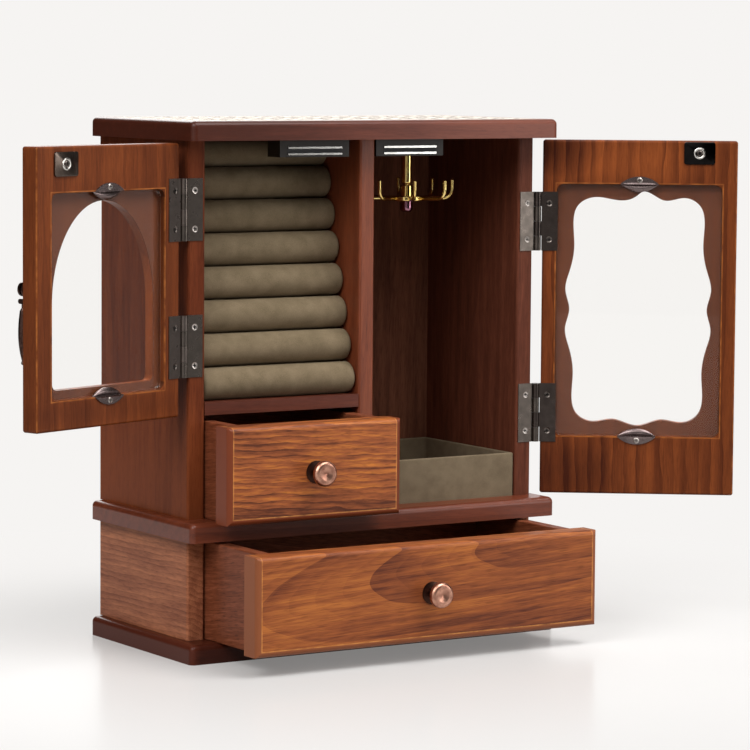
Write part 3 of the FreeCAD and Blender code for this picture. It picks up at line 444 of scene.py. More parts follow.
@dataclass(frozen=True)
class LippedWoodFinish(WoodFinish):
    """A veneered drawer front: smooth solid lipping round it, and a pale line where they meet,
    partly wear and partly a painted highlight.

    The left, right and bottom are the front's own edges, in millimetres.
    """

    left: float = 0.0
    right: float = 0.0
    bottom: float = 0.0
    lip_width: float = 3.3
    line_width: float = 0.7
    line_share: float = 0.5
    line_uneven: float = 0.35
    rub_sheen_width: float = 6.0
    lip: str = "#8A5032"
    # The pale line's colour: worn veneer edge with a painted highlight along it.
    line: str = "#D08C4C"

    def trim(self, tree: NodeTree, level: NodeSocket, colour: NodeSocket) -> NodeSocket:
        """Lay the lipping, and the pale line at the veneer's edge: partly wear, partly a painted
        highlight.

        Args:
            tree: The material's node tree.
            level: The point in the object's own directions, in millimetres.
            colour: The colour of the veneer.

        Returns:
            The colour with its edges.
        """
        x, _, z = add_node(tree, "SeparateXYZ", {0: level}).outputs
        inside = formula(
            tree, "least(least(x - left, right - x), z - bottom)",
            x=x, left=self.left, right=self.right, z=z, bottom=self.bottom,
        )
        on_lip = formula(tree, "below(inside, lip)", inside=inside, lip=self.lip_width)
        half = self.line_width / 2
        on_line = formula(
            tree, "near(inside, middle, half) * (share + uneven * rubbed)",
            inside=inside, middle=self.lip_width + half, half=half,
            share=self.line_share, uneven=self.line_uneven,
            rubbed=self.streaks(tree, level, self.rub_sheen_width, 3.0),
        )
        return stains_and_painted_light(tree, colour, (on_lip, self.lip), (on_line, self.line))


def turned(degrees: float, axis: str) -> Matrix:
    """A turn about one of the three axes."""
    return Matrix.Rotation(math.radians(degrees), 4, axis)


@dataclass(frozen=True)
class Door:
    """How a door hangs and where its fittings sit, in its own closed directions.

    Lengths are millimetres, counted sideways from the hinge pin. The sign is the way it
    reaches from its pin.
    """

    side: str
    sign: int
    opening: float
    glass_middle: float
    glass_half: float
    glass_low: float
    glass_high: float
    hinges: Pair
    strike: float
    pin: Pair = (130.2, -48.6)
    free_edge: float = 128.2
    strike_across: float = 103.7

    @property
    def pin_place(self) -> Triple:
        """The hinge pin's place."""
        return -self.sign * self.pin[0], self.pin[1], 0.0

    @property
    def turn(self) -> float:
        """The turn in degrees from closed to where the door stands."""
        return -self.sign * self.opening

    def placed(self, across: float, out: float, up: float) -> Matrix:
        """A frame on the door's inner face, with its Z axis pointing out of that face.

        Args:
            across: The distance from the pin.
            out: The distance in front of the inner face's plane.
            up: The height above the base.

        Returns:
            The frame, in metres.
        """
        swing = Matrix.Translation(Vector(self.pin_place) * MM) @ turned(self.turn, "Z")
        spot = Matrix.Translation(Vector((self.sign * across, out, up)) * MM)
        return swing @ spot @ turned(-90.0, "X")


LEFT_DOOR = Door("left", 1, 160.1, 66.2, 49.5, 168, 289.3, (276.1, 193), 306)
RIGHT_DOOR = Door("right", -1, 143.6, 65.45, 53.25, 125, 288.3, (264, 140), 308.5)


@dataclass(frozen=True)
class DoorWoodFinish(WoodFinish):
    """A door's frame: upright figure, with a pale line along its sharp edges, partly worn stain
    and partly a painted highlight.

    The line depth is how far behind the inner face the pale line reaches, and the rebate is the
    depth of the rebate's floor and how far round it counts.
    """

    door: Door = LEFT_DOOR
    # The pale line's colour: worn stain with a painted highlight.
    rubbed: str = "#B06A34"
    line_width: float = 0.8
    line_depth: float = -1.5
    line_share: float = 0.4
    line_uneven: float = 0.4
    rub_sheen_width: float = 7.0
    # The darker colour of the rebate's floor, and how much of it shows.
    rebate_tone: str = "#432518"
    rebate_tone_share: float = 0.85
    rebate: Pair = (-4.0, 2.5)

    def trim(self, tree: NodeTree, level: NodeSocket, colour: NodeSocket) -> NodeSocket:
        """Rub the edge of the glass rebate and the free upright edge, and dull its floor.

        Args:
            tree: The material's node tree.
            level: The point in the closed door's directions, in millimetres.
            colour: The colour of the board.

        Returns:
            The colour with its edges.
        """
        x, y, z = add_node(tree, "SeparateXYZ", {0: level}).outputs
        door = self.door
        outside = formula(
            tree, "most(size(x - glass_x) - wide, size(z - glass_z) - high)",
            x=x, glass_x=door.sign * door.glass_middle, wide=door.glass_half,
            z=z, glass_z=(door.glass_low + door.glass_high) / 2,
            high=(door.glass_high - door.glass_low) / 2,
        )
        # A pale line of worn stain and painted highlight at the rebate's edge and the free edge.
        line = formula(
            tree,
            "most(near(outside, half, half), near(size(x), free - half, half))"
            " * above(y, depth) * (share + uneven * rubbed)",
            outside=outside, half=self.line_width / 2, x=x, free=door.free_edge, y=y,
            depth=self.line_depth, share=self.line_share, uneven=self.line_uneven,
            rubbed=self.streaks(tree, level, self.rub_sheen_width, 3.0),
        )
        floor = formula(
            tree, "below(outside, 0) * near(y, middle, reach) * share",
            outside=outside, y=y, middle=self.rebate[0], reach=self.rebate[1],
            share=self.rebate_tone_share,
        )
        return stains_and_painted_light(tree, colour, (floor, self.rebate_tone), (line, self.rubbed))


@dataclass(frozen=True)
class MetalFinish(Finish):
    """A plated or polished metal: even, with faint dull clouds of patina and a fine grain.

    The grain is drawn at a quarter of a millimetre, coarser than it is, so that it shows.
    """

    bright: str
    dull: str
    roughness: float
    cloud_width: float = 5.0
    grit: float = 0.25
    relief: float = 0.02
    tarnished: float = 0.07
    rubbed: float = 0.05

    def build(self) -> Material:
        """Build the metal's material.

        Returns:
            The metal.
        """
        material, tree, surface = self.start()
        place = add_node(tree, "TexCoord").outputs["Object"]
        inputs = {"Vector": place, "Scale": 1 / (self.cloud_width * MM), "Detail": 3.0}
        clouds = add_node(tree, "TexNoise", inputs).outputs["Fac"]
        stops = [(0.25, self.dull), (0.7, self.bright)]
        colour = add_node(tree, "ValToRGB", {0: clouds}, stops=stops).outputs[0]
        duller, glossier = self.roughness + self.tarnished, self.roughness - self.rubbed
        gloss = {"Value": clouds, "To Min": duller, "To Max": glossier}
        inputs = {"Vector": place, "Scale": 1 / (self.grit * MM), "Detail": 2.0}
        grain = add_node(tree, "TexNoise", inputs).outputs["Fac"]
        relief = {"Strength": 0.05, "Distance": self.relief * MM, "Height": grain}
        feed(surface, {
            "Base Color": self.shade_and_tarnish(tree, place, colour),
            "Roughness": add_node(tree, "MapRange", gloss).outputs[0],
            "Normal": add_node(tree, "Bump", relief).outputs[0],
            "Metallic": 1.0,
        })
        return material

    def shade_and_tarnish(self, tree: NodeTree, place: NodeSocket, colour: NodeSocket) -> NodeSocket:
        """Paint a part's shade and patina. A plain metal part has nothing to darken.

        Args:
            tree: The material's node tree.
            place: The point on the object, in metres.
            colour: The metal's own colour.

        Returns:
            The colour with any painted shade and patina.
        """
        return colour


@dataclass(frozen=True)
class KnobFinish(MetalFinish):
    """A turned copper knob: worn bright on its head, brown in its dish, and painted black-brown
    at its neck as the shade under the head.

    The axis is where the knob's turning axis stands, and the front how far out its face is.
    Lengths are millimetres.
    """

    axis: Pair = (0.0, 0.0)
    front: float = 0.0
    head_depth: float = 5.2
    head_blend: float = 0.8
    dish_radius: float = 3.2
    dish_blend: float = 2.6
    dish_share: float = 0.4
    dish_uneven: float = 1.2
    spot_width: float = 2.0
    shade: str = "#33211B"
    dish: str = "#5A3226"

    def shade_and_tarnish(self, tree: NodeTree, place: NodeSocket, colour: NodeSocket) -> NodeSocket:
        """Paint the neck and the flange black-brown, the shade under the head, and stain the
        middle of the dish.

        Args:
            tree: The material's node tree.
            place: The point on the object, in metres.
            colour: The copper's own colour.

        Returns:
            The colour with its painted shade and its stain.
        """
        inputs = {0: place, "Scale": 1 / MM}
        level = add_node(tree, "VectorMath", inputs, {"operation": "SCALE"}).outputs[0]
        x, y, z = add_node(tree, "SeparateXYZ", {0: level}).outputs
        inputs = {"Vector": level, "Scale": 1 / self.spot_width, "Detail": 3.0}
        spots = add_node(tree, "TexNoise", inputs).outputs["Fac"]
        # Painted shade: the neck and the flange drawn black-brown under the head.
        behind = formula(
            tree, "least(1, most(0, (y - front - head) / blend))",
            y=y, front=self.front, head=self.head_depth, blend=self.head_blend,
        )
        reach = formula(
            tree, "root((x - across) ** 2 + (z - up) ** 2)",
            x=x, across=self.axis[0], z=z, up=self.axis[1],
        )
        middle = formula(
            tree, "least(1, most(0, (radius - reach) / blend + (spots - 0.5) * uneven)) * share",
            radius=self.dish_radius, reach=reach, blend=self.dish_blend, spots=spots,
            uneven=self.dish_uneven, share=self.dish_share,
        )
        return stains_and_painted_light(tree, colour, (middle, self.dish), (behind, self.shade))


@dataclass(frozen=True)
class VelvetFinish(Finish):
    """Short-pile flocked velvet: matt, with a pale bloom at grazing angles and a mottled nap."""

    pile: str
    crushed: str
    nap_width: float = 9.0
    fibre: float = 0.5
    speckle: float = 0.5
    relief: float = 0.12
    roughness: float = 0.95
    specular: float = 0.12
    bloom: float = 0.2
    bloom_roughness: float = 0.4

    def build(self) -> Material:
        """Build the velvet's material.

        Returns:
            The velvet.
        """
        material, tree, surface = self.start()
        place = add_node(tree, "TexCoord").outputs["Object"]
        inputs = {"Vector": place, "Scale": 1 / (self.nap_width * MM), "Detail": 5.0}
        nap = add_node(tree, "TexNoise", inputs).outputs["Fac"]
        stops = [(0.3, self.crushed), (0.68, self.pile)]
        colour = add_node(tree, "ValToRGB", {0: nap}, stops=stops).outputs[0]
        inputs = {"Vector": place, "Scale": 1 / (self.fibre * MM), "Detail": 2.0}
        fibres = add_node(tree, "TexNoise", inputs).outputs["Fac"]
        stops = [(0.25, "#B4B4B4"), (0.7, "#FFFFFF")]
        speckle = add_node(tree, "ValToRGB", {0: fibres}, stops=stops).outputs[0]
        darker = {MIX_FACTOR: self.speckle, MIX_A: colour, MIX_B: speckle}
        relief = {"Strength": 0.3, "Distance": self.relief * MM, "Height": fibres}
        feed(surface, {
            "Base Color": add_node(tree, "Mix", darker, DARKENING).outputs[MIX_RESULT],
            "Normal": add_node(tree, "Bump", relief).outputs[0],
            "Roughness": self.roughness,
            "Specular IOR Level": self.specular,
            "Sheen Weight": self.bloom,
            "Sheen Roughness": self.bloom_roughness,
            "Sheen Tint": linear(self.pile),
        })
        return material


@dataclass(frozen=True)
class GlassFinish(Finish):
    """Clear float glass: no colour, and darker only where its ground edges bend the light.

    Its index is matched to panes that mirror less than plain float glass does.
    """

    tint: str = "#FFFFFE"
    index: float = 1.22

    def build(self) -> Material:
        """Build the glass, which lets the light of the lamps through.

        Returns:
            The glass.
        """
        material, tree, surface = self.start()
        feed(surface, {
            "Base Color": linear(self.tint),
            "Roughness": 0.0,
            "IOR": self.index,
            "Transmission Weight": 1.0,
        })
        clear = add_node(tree, "BsdfTransparent", {"Color": linear(self.tint)}).outputs[0]
        shadow = add_node(tree, "LightPath").outputs["Is Shadow Ray"]
        mixed = add_node(tree, "MixShader", {0: shadow, 1: surface.outputs[0], 2: clear})
        feed(tree.nodes["Material Output"], {"Surface": mixed.outputs[0]})
        return material


@dataclass(frozen=True)
class PlasticFinish(Finish):
    """Moulded or pressed, with a fine matt texture."""

    colour: str
    roughness: float
    specular: float = 0.3
    grit: float = 0.5
    relief: float = 0.05

    def build(self) -> Material:
        """Build the plastic's material.

        Returns:
            The plastic.
        """
        material, tree, surface = self.start()
        place = add_node(tree, "TexCoord").outputs["Object"]
        inputs = {"Vector": place, "Scale": 1 / (self.grit * MM), "Detail": 3.0}
        grain = add_node(tree, "TexNoise", inputs).outputs["Fac"]
        relief = {"Strength": 0.2, "Distance": self.relief * MM, "Height": grain}
        feed(surface, {
            "Normal": add_node(tree, "Bump", relief).outputs[0],
            "Base Color": linear(self.colour),
            "Roughness": self.roughness,
            "Specular IOR Level": self.specular,
        })
        return material


@dataclass(frozen=True)
class OrnamentFinish(Finish):
    """A cream lacquered panel painted with a lattice of rosettes and rings in dark brown.

    The repeat, the half sizes and the border are millimetres, and the parts of the figure
    are shares of the repeat.
    """

    ground: str = "#E4DACA"
    paint: str = "#3E2417"
    repeat: float = 36.0
    petals: float = 8.0
    half_width: float = 126.0
    half_depth: float = 58.0
    border: float = 3.0
    rosette: float = 0.24
    petal: float = 0.08
    eye: float = 0.07
    ring: float = 0.42
    ring_wave: float = 0.05
    ring_line: float = 0.035
    diamond: float = 0.6
    roughness: float = 0.55
    specular: float = 0.15

    def build(self) -> Material:
        """Build the painted panel's material.

        Returns:
            The painted panel.
        """
        material, tree, surface = self.start()
        inputs = {0: add_node(tree, "TexCoord").outputs["Object"], "Scale": 1 / MM}
        level = add_node(tree, "VectorMath", inputs, {"operation": "SCALE"}).outputs[0]
        x, y, _ = add_node(tree, "SeparateXYZ", {0: level}).outputs
        cell_x = formula(tree, "rest(x / repeat) - 0.5", x=x, repeat=self.repeat)
        cell_y = formula(tree, "rest(y / repeat) - 0.5", y=y, repeat=self.repeat)
        figure = formula(
            tree,
            "most(most(below(reach, rosette + petal * cosine(angle * petals)) - below(reach, eye),"
            " near(reach, ring + wave * cosine(angle * 4), line)), above(reach, diamond))",
            reach=formula(tree, "root(x * x + y * y)", x=cell_x, y=cell_y),
            angle=formula(tree, "bearing(y, x)", x=cell_x, y=cell_y),
            rosette=self.rosette, petal=self.petal, petals=self.petals, eye=self.eye,
            ring=self.ring, wave=self.ring_wave, line=self.ring_line, diamond=self.diamond,
        )
        painted = formula(
            tree,
            "most(figure * below(inside, 0 - 2 * border), near(inside, 0 - border, border / 4))",
            figure=figure, border=self.border,
            inside=formula(
                tree, "most(size(x) - wide, size(y) - deep)",
                x=x, y=y, wide=self.half_width, deep=self.half_depth,
            ),
        )
        feed(surface, {
            "Base Color": stains_and_painted_light(tree, linear(self.ground), (painted, self.paint)),
            "Roughness": self.roughness,
            "Specular IOR Level": self.specular,
        })
        return material


# Ash with a red-brown stain, rolled with satin lacquer: soft broad rings and a low sheen. The
# top plate's edge is painted darker to its left end and paler to its right: a painted highlight.
PLATES = WoodFinish(
    "stained_ash_across_satin_lacquer", "#6E3A2A", "#5A2C1F", "#431F15",
    Grain.ACROSS, (0, -150, -90), ring_spacing=9, ring_share=0.25, streak_share=0.15,
    hair_share=0.1, pore_depth=0.15, specular=0.22, roughness=0.3,
    # Painted highlight: the top plate's edge drawn darker at its left end and paler at its right.
    patches=(Patch(-134, 325, 130, 40, 0.5), Patch(134, 325, 110, 40, -0.45)),
)
# The plates' stain drawn darker, the darkest of the plates: painted shade under the drawers.
# Its left end is painted paler: painted light.
BASE_PLATE = replace(
    PLATES, name="stained_ash_across_base_plate_painted_light_and_shade", light="#512417", middle="#3E190F",
    # Painted light: the base plate's left end drawn paler.
    dark="#34140B", specular=0.14, patches=(Patch(-140, 6, 13, 30, -0.9),),
)
# A lighter, redder copy of the plates' stain: painted light where the board lies in shade.
# A fuller coat makes it shine more than the plates above and below it.
MID_PLATE = replace(
    PLATES, name="stained_ash_across_mid_plate_painted_light", light="#7F4029", middle="#68311E",
    dark="#4E2314", specular=0.3, patches=(),
)
# Ash with its grain upright: long quiet lines and almost no shine. The left side's lower
# part is painted paler: painted light.
SIDES = WoodFinish(
    "stained_ash_upright_satin_lacquer", "#7A3E22", "#622F1B", "#461F11",
    Grain.UPRIGHT, (-180, 40, 200), ring_spacing=11, ring_share=0.2, wander=3,
    streak_share=0.2, hair_share=0.12, pore_depth=0.2, specular=0.05,
    # Painted light: the left side drawn paler low down.
    patches=(Patch(-120, 105, 60, 60, -0.45),),
)
# The sides' board in a warmer cut under a glossier coat.
PARTITION = replace(
    SIDES, name="stained_ash_upright_partition", light="#8A482A", middle="#713720",
    dark="#522615", specular=0.3,
)
# The sides' board drawn darker and greyer: painted shade inside the right compartment.
RIGHT_SIDE = replace(
    SIDES, name="stained_ash_upright_right_side_painted_shade", light="#73412F", middle="#5B3123",
    dark="#412218",
)
# A paler ash with close rings that run front to back: a busy, rosy figure.
LOWER_SIDES = WoodFinish(
    "stained_ash_deep_satin_lacquer", "#BD7955", "#985D42", "#713D29",
    Grain.DEEP, (-160, 0, -60), (0, 0, 4), ring_spacing=3.4, ring_share=0.5,
    ring_fade=12, wander=2.4, wander_width=9, streak_share=0.2, stretch=0.16,
    pore_depth=0.25, specular=0.1, patches=(Patch(-127, 70, 200, 14, -0.15),),
)
# Figured veneer in solid lipping: a broad flame, amber to dark brown, with a pale line at the
# veneer's edge, partly wear and partly painted highlight. Its bottom patch is painted shade.
LARGE_FRONT = LippedWoodFinish(
    "figured_ash_veneer_large_drawer", "#B06834", "#8E4E2B", "#5E3020",
    Grain.ACROSS, (191, -127.4, 92), (0, -10, -9), ring_spacing=12,
    ring_share=0.42, ring_start=36.8, ring_fade=22, wander=1.8, wander_width=26,
    streak_width=3.2, streak_share=0.26, hair_share=0.17, specular=0.15,
    fibre_tilt=(0, -3, 0), fibre_stretch=0.045, fine_spacing=2.9, fine_share=0.1,
    patches=(
        Patch(-96, 36, 40, 16, -0.3), Patch(-12, 58, 44, 15, 0.14),
        # Painted shade: the patch at 18 mm darkens the band along the bottom.
        Patch(70, 52, 70, 14, 0.14), Patch(60, 18, 110, 13, 0.34),
    ),
    left=-124, right=124, bottom=12.6,
)
# The same veneer from another place in the log: close wavy lines, strongly light and dark.
# Its bottom patch is painted shade.
SMALL_FRONT = LippedWoodFinish(
    "figured_ash_veneer_small_drawer", "#C47634", "#96532E", "#582D1C",
    Grain.ACROSS, (-190, -60, 40), (0, 1.5, 3), ring_spacing=3.6,
    ring_share=0.58, ring_fade=9, wander=2.8, wander_width=9, stretch=0.3,
    streak_width=2.6, streak_share=0.24, specular=0.18,
    # Painted shade: the patch at 84 mm darkens the band along the bottom.
    patches=(Patch(-110, 140, 60, 20, 0.2), Patch(-60, 84, 120, 20, 0.45)),
    left=-122, right=1.3, bottom=87, lip="#73371F",
)
# Planed plywood, stained but not lacquered: plain, a little dull, with fine hairs and pores.
DRAWER_BOX = WoodFinish(
    "smooth_stained_plywood_drawer_box", "#91533A", "#763F28", "#5D2E1C",
    Grain.DEEP, (-90, 0, -160), (0, 8, 0), ring_spacing=5, ring_share=0.15,
    streak_width=2.2, hair_share=0.25, pore_depth=0.4, specular=0.14,
)
DRAWER_BACK = replace(DRAWER_BOX, name="smooth_stained_plywood_drawer_back", grain=Grain.ACROSS)
# Thin plywood that takes the stain greyer and keeps a dry look.
BACKS = WoodFinish(
    "stained_ash_plywood_back", "#885641", "#6C4332", "#4E2F24",
    Grain.UPRIGHT, (40, 260, 200), ring_spacing=8, ring_share=0.25, specular=0.12,
)


def door_wood(
    door: Door, pith: float, spacing: float, share: float, patches: tuple[Patch, ...]
) -> DoorWoodFinish:
    """The finish of one door's frame, drawn in its own closed directions.

    Args:
        door: The door that wears it.
        pith: The middle of its arched figure, counted sideways from the pin.
        spacing: The distance between its growth rings.
        share: How strongly they show.
        patches: Its paler and darker areas.

    Returns:
        The finish.
    """
    return DoorWoodFinish(
        f"stained_ash_satin_lacquer_{door.side}_door", "#8C4923", "#673319", "#401B0D",
        Grain.UPRIGHT, (door.sign * pith, 0, -190), (9, 0, 0),
        door.pin_place, door.turn, spacing, share, wander=3.6, wander_width=11, stretch=0.3,
        ring_fade=16, streak_width=9, streak_share=0.16, hair_share=0.07, pore_depth=0.18,
        specular=0.08, patches=patches, door=door,
    )


# Ash with arched figure that shows faintly on the left door and boldly on the right one, its
# sharp edges drawn with a pale line of worn stain and painted highlight, and the floor of
# its glass rebate darker.
LEFT_DOOR_WOOD = door_wood(
    LEFT_DOOR, 60, 9, 0.22,
    (Patch(66, 303, 40, 16, -0.1), Patch(66, 160, 90, 9, 0.12)),
)
RIGHT_DOOR_WOOD = door_wood(
    RIGHT_DOOR, 74, 8, 0.5,
    (
        Patch(-62, 303, 54, 17, -0.26), Patch(-16, 308, 26, 16, 0.35),
        Patch(-14, 100, 40, 26, 0.3),
    ),
)
# Flocked nylon pile of 0.2 mm, drawn at 0.5 mm so that it shows: matt, mottled, pale-rimmed.
ROLL_VELVET = VelvetFinish("taupe_flocked_velvet_rolls", "#807059", "#70624C")
TRAY_VELVET = VelvetFinish("taupe_flocked_velvet_tray", "#7A6B56", "#6B5D4A")
# Float glass 3 mm thick: clear, with thin bright reflections and darker ground edges.
PANE = GlassFinish("clear_float_glass")
# Pressed steel leaves with an antique bronze dip: grey-brown and half dull. The left door's
# leaves are a lighter copy, painted light, and the right door's a darker copy, painted shade.
HINGE = MetalFinish("antique_bronze_pressed_steel", "#5E5650", "#4B4540", 0.28)
HINGE_PAINTED_LIGHT = MetalFinish("antique_bronze_pressed_steel_painted_light", "#6E645E", "#5A524D", 0.28)
HINGE_PAINTED_SHADE = MetalFinish("antique_bronze_pressed_steel_painted_shade", "#4A423E", "#3A3330", 0.28)
# Nickelled steel screws, bright but not polished, and a darker copy for the doors' leaves and
# strikes.
SCREW = MetalFinish("nickelled_screw_steel", "#B4ACA6", "#8F8781", 0.3)
SCREW_DARK = MetalFinish("darker_screw_steel", "#6A625D", "#4A4440", 0.24)
# A screw's recess painted near black, with hardly any shine: painted shade in the recess.
RECESS = PlasticFinish("painted_shade_in_a_screw_recess", "#14100E", 0.7)
# Black nickel on spring steel: a dark mirror with a reddish cast.
CLIP = MetalFinish("black_nickel_spring_steel", "#7A6C6A", "#5A4E4D", 0.26)
# The catches' strike plates, both flat and smooth: one dull nickel, and one drawn near black,
# a painted dark reflection on a mirror-like face.
STRIKE_NICKEL = MetalFinish("dull_nickel_plated_steel", "#62564E", "#4C433D", 0.24)
STRIKE_DARK_REFLECTION = MetalFinish("steel_with_painted_dark_reflection", "#1C1A1A", "#121110", 0.2)
# Bright nickel and bare rolled steel: white highlights with sharp rims.
EYELET = MetalFinish("bright_nickel_eyelet", "#DCD8D2", "#BBB6AF", 0.16)
POLES = MetalFinish("bright_rolled_steel", "#D6D4D0", "#ACA9A4", 0.18)
# Gilt brass, polished and lacquered: yellow, almost a mirror. The nut's copper is rosier.
BRASS = MetalFinish("polished_gilt_brass", "#F0D890", "#D4AC5C", 0.13)
NUT = MetalFinish("polished_copper_nut", "#A8788A", "#6E4650", 0.16)
# Cast copper, darkened and rubbed back: brown-black, with small cloudy highlights.
PULL = MetalFinish("antique_copper_cast", "#4E3A34", "#2C1F1B", 0.3, 1.5)
# Turned copper: a pinkish bright head over a neck painted black-brown, as the shade under the
# head.
LARGE_KNOB = KnobFinish(
    "antique_copper_turned_large_knob", "#C4947E", "#7E5244", 0.3, 4,
    axis=(0, 42.8), front=-140.4,
)
SMALL_KNOB = replace(
    LARGE_KNOB, name="antique_copper_turned_small_knob", axis=(-60.35, 116.75), front=-102.4
)
# Moulded ABS and pressed ferrite: plain dark bodies with a fine matt grain.
HOUSING = PlasticFinish("moulded_abs_catch_housing", "#201812", 0.4)
MAGNET = PlasticFinish("sintered_ferrite_magnet", "#2A2A2C", 0.6)
# Cream lacquer with brushed dark brown paint: satin and even, with crisp figures.
INLAY = OrnamentFinish("painted_cream_lacquer_panel")
# Black felt: it gives back hardly any light.
FLAG_CLOTH = PlasticFinish("black_felt_flag", "#0A0908", 0.9, 0)


def dress(finish: Finish, *names: str) -> None:
    """Give CAD nodes their finish.

    Args:
        finish: The finish to show.
        names: The nodes that wear it.
    """
    for name in names:
        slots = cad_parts[name].data.materials
        slots.clear()
        slots.append(finish.material())
        LOG.info("%s wears %s", name, finish.name)


def new_mesh(shape: BMesh, name: str, *materials: Material) -> Mesh:
    """Turn a shape into a mesh.

    Args:
        shape: The shape, which is freed here.
        name: The mesh's name.
        materials: What it wears, in the order of its faces' material numbers.

    Returns:
        The mesh.
    """
    mesh = bpy.data.meshes.new(name)
    shape.to_mesh(mesh)
    shape.free()
    for material in materials:
        mesh.materials.append(material)
    return mesh


def add_object(name: str, data: bpy.types.ID) -> Object:
    """Add an object to the scene, at the origin and unturned.

    Args:
        name: The object's name.
        data: Its mesh, lamp or camera.

    Returns:
        The object.
    """
    added = bpy.data.objects.new(name, data)
    bpy.context.scene.collection.objects.link(added)
    return added


def add_piece(
    shape: BMesh,
    name: str,
    body: str,
    finishes: tuple[Finish, ...],
    stands_for: tuple[str, ...] = (),
    sharp: float = 35.0,
) -> Object:
    """Turn a finished shape into a piece that rides on a body.

    Args:
        shape: The shape, in metres and in place; it is freed here.
        name: The piece's name.
        body: The body that it moves with.
        finishes: Its finishes, in the order of its faces' material numbers.
        stands_for: The CAD nodes that it replaces.
        sharp: The angle in degrees past which an edge stays sharp.

    Returns:
        The new object.
    """
    bmesh.ops.remove_doubles(shape, verts=shape.verts, dist=TINY)
    bmesh.ops.recalc_face_normals(shape, faces=shape.faces)
    mesh = new_mesh(shape, name, *(finish.material() for finish in finishes))
    mesh.shade_smooth()
    mesh.set_sharp_from_angle(angle=math.radians(sharp))
    piece = add_object(name, mesh)
    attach(piece, body)
    if stands_for:
        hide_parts(*stands_for)
    LOG.info("%s rides on %s", name, body)
    return piece


def gather(shapes: list[BMesh]) -> BMesh:
    """Join shapes into one.

    Args:
        shapes: The shapes, which are freed here.

    Returns:
        The joined shape.
    """
    whole = bmesh.new()
    for shape in shapes:
        mesh = new_mesh(shape, "part")
        whole.from_mesh(mesh)
        bpy.data.meshes.remove(mesh)
    return whole


def made(found: dict, kind: type) -> list:
    """The vertices or the edges among what an operator made."""
    return [item for item in found["geom"] if isinstance(item, kind)]


def block(size: Vector, middle: Vector) -> BMesh:
    """Make a plain block.

    Args:
        size: Its length along each axis.
        middle: Where its middle lies.

    Returns:
        The block.
    """
    shape = bmesh.new()
    bmesh.ops.create_cube(shape, size=1.0)
    shape.transform(Matrix.Translation(middle) @ Matrix.Diagonal((*size, 1.0)))
    return shape


def upright_edges(shape: BMesh, rise: float) -> list[BMEdge]:
    """The edges that rise by more than a height."""
    return [e for e in shape.edges if abs(e.verts[0].co.z - e.verts[1].co.z) > rise]


def edges_above(shape: BMesh, level: float) -> list[BMEdge]:
    """The edges that lie wholly above a level."""
    return [e for e in shape.edges if min(v.co.z for v in e.verts) > level]


def round_edges(shape: BMesh, edges: list[BMEdge], radius: float, segments: int) -> None:
    """Round some edges of a shape.

    Args:
        shape: The shape.
        edges: The edges to round.
        radius: The radius, in the shape's own units.
        segments: How many steps the round has.
    """
    bmesh.ops.bevel(
        shape, geom=edges, offset=radius, offset_type="OFFSET", segments=segments,
        profile=0.5, affect="EDGES", material=-1, clamp_overlap=True,
    )


@dataclass(frozen=True)
class Softbox:
    """A square softbox lamp: where it hangs and how wide it is in metres, and its watts."""

    name: str
    spot: Triple
    size: float
    power: float


@dataclass(frozen=True)
class Flag:
    """A dark card that only gloss sees: its name, its place on the floor and its size. Metres.

    It gives lacquer and glass something dark to mirror, as a photographer's flag does.
    """

    name: str
    spot: Pair
    width: float
    height: float


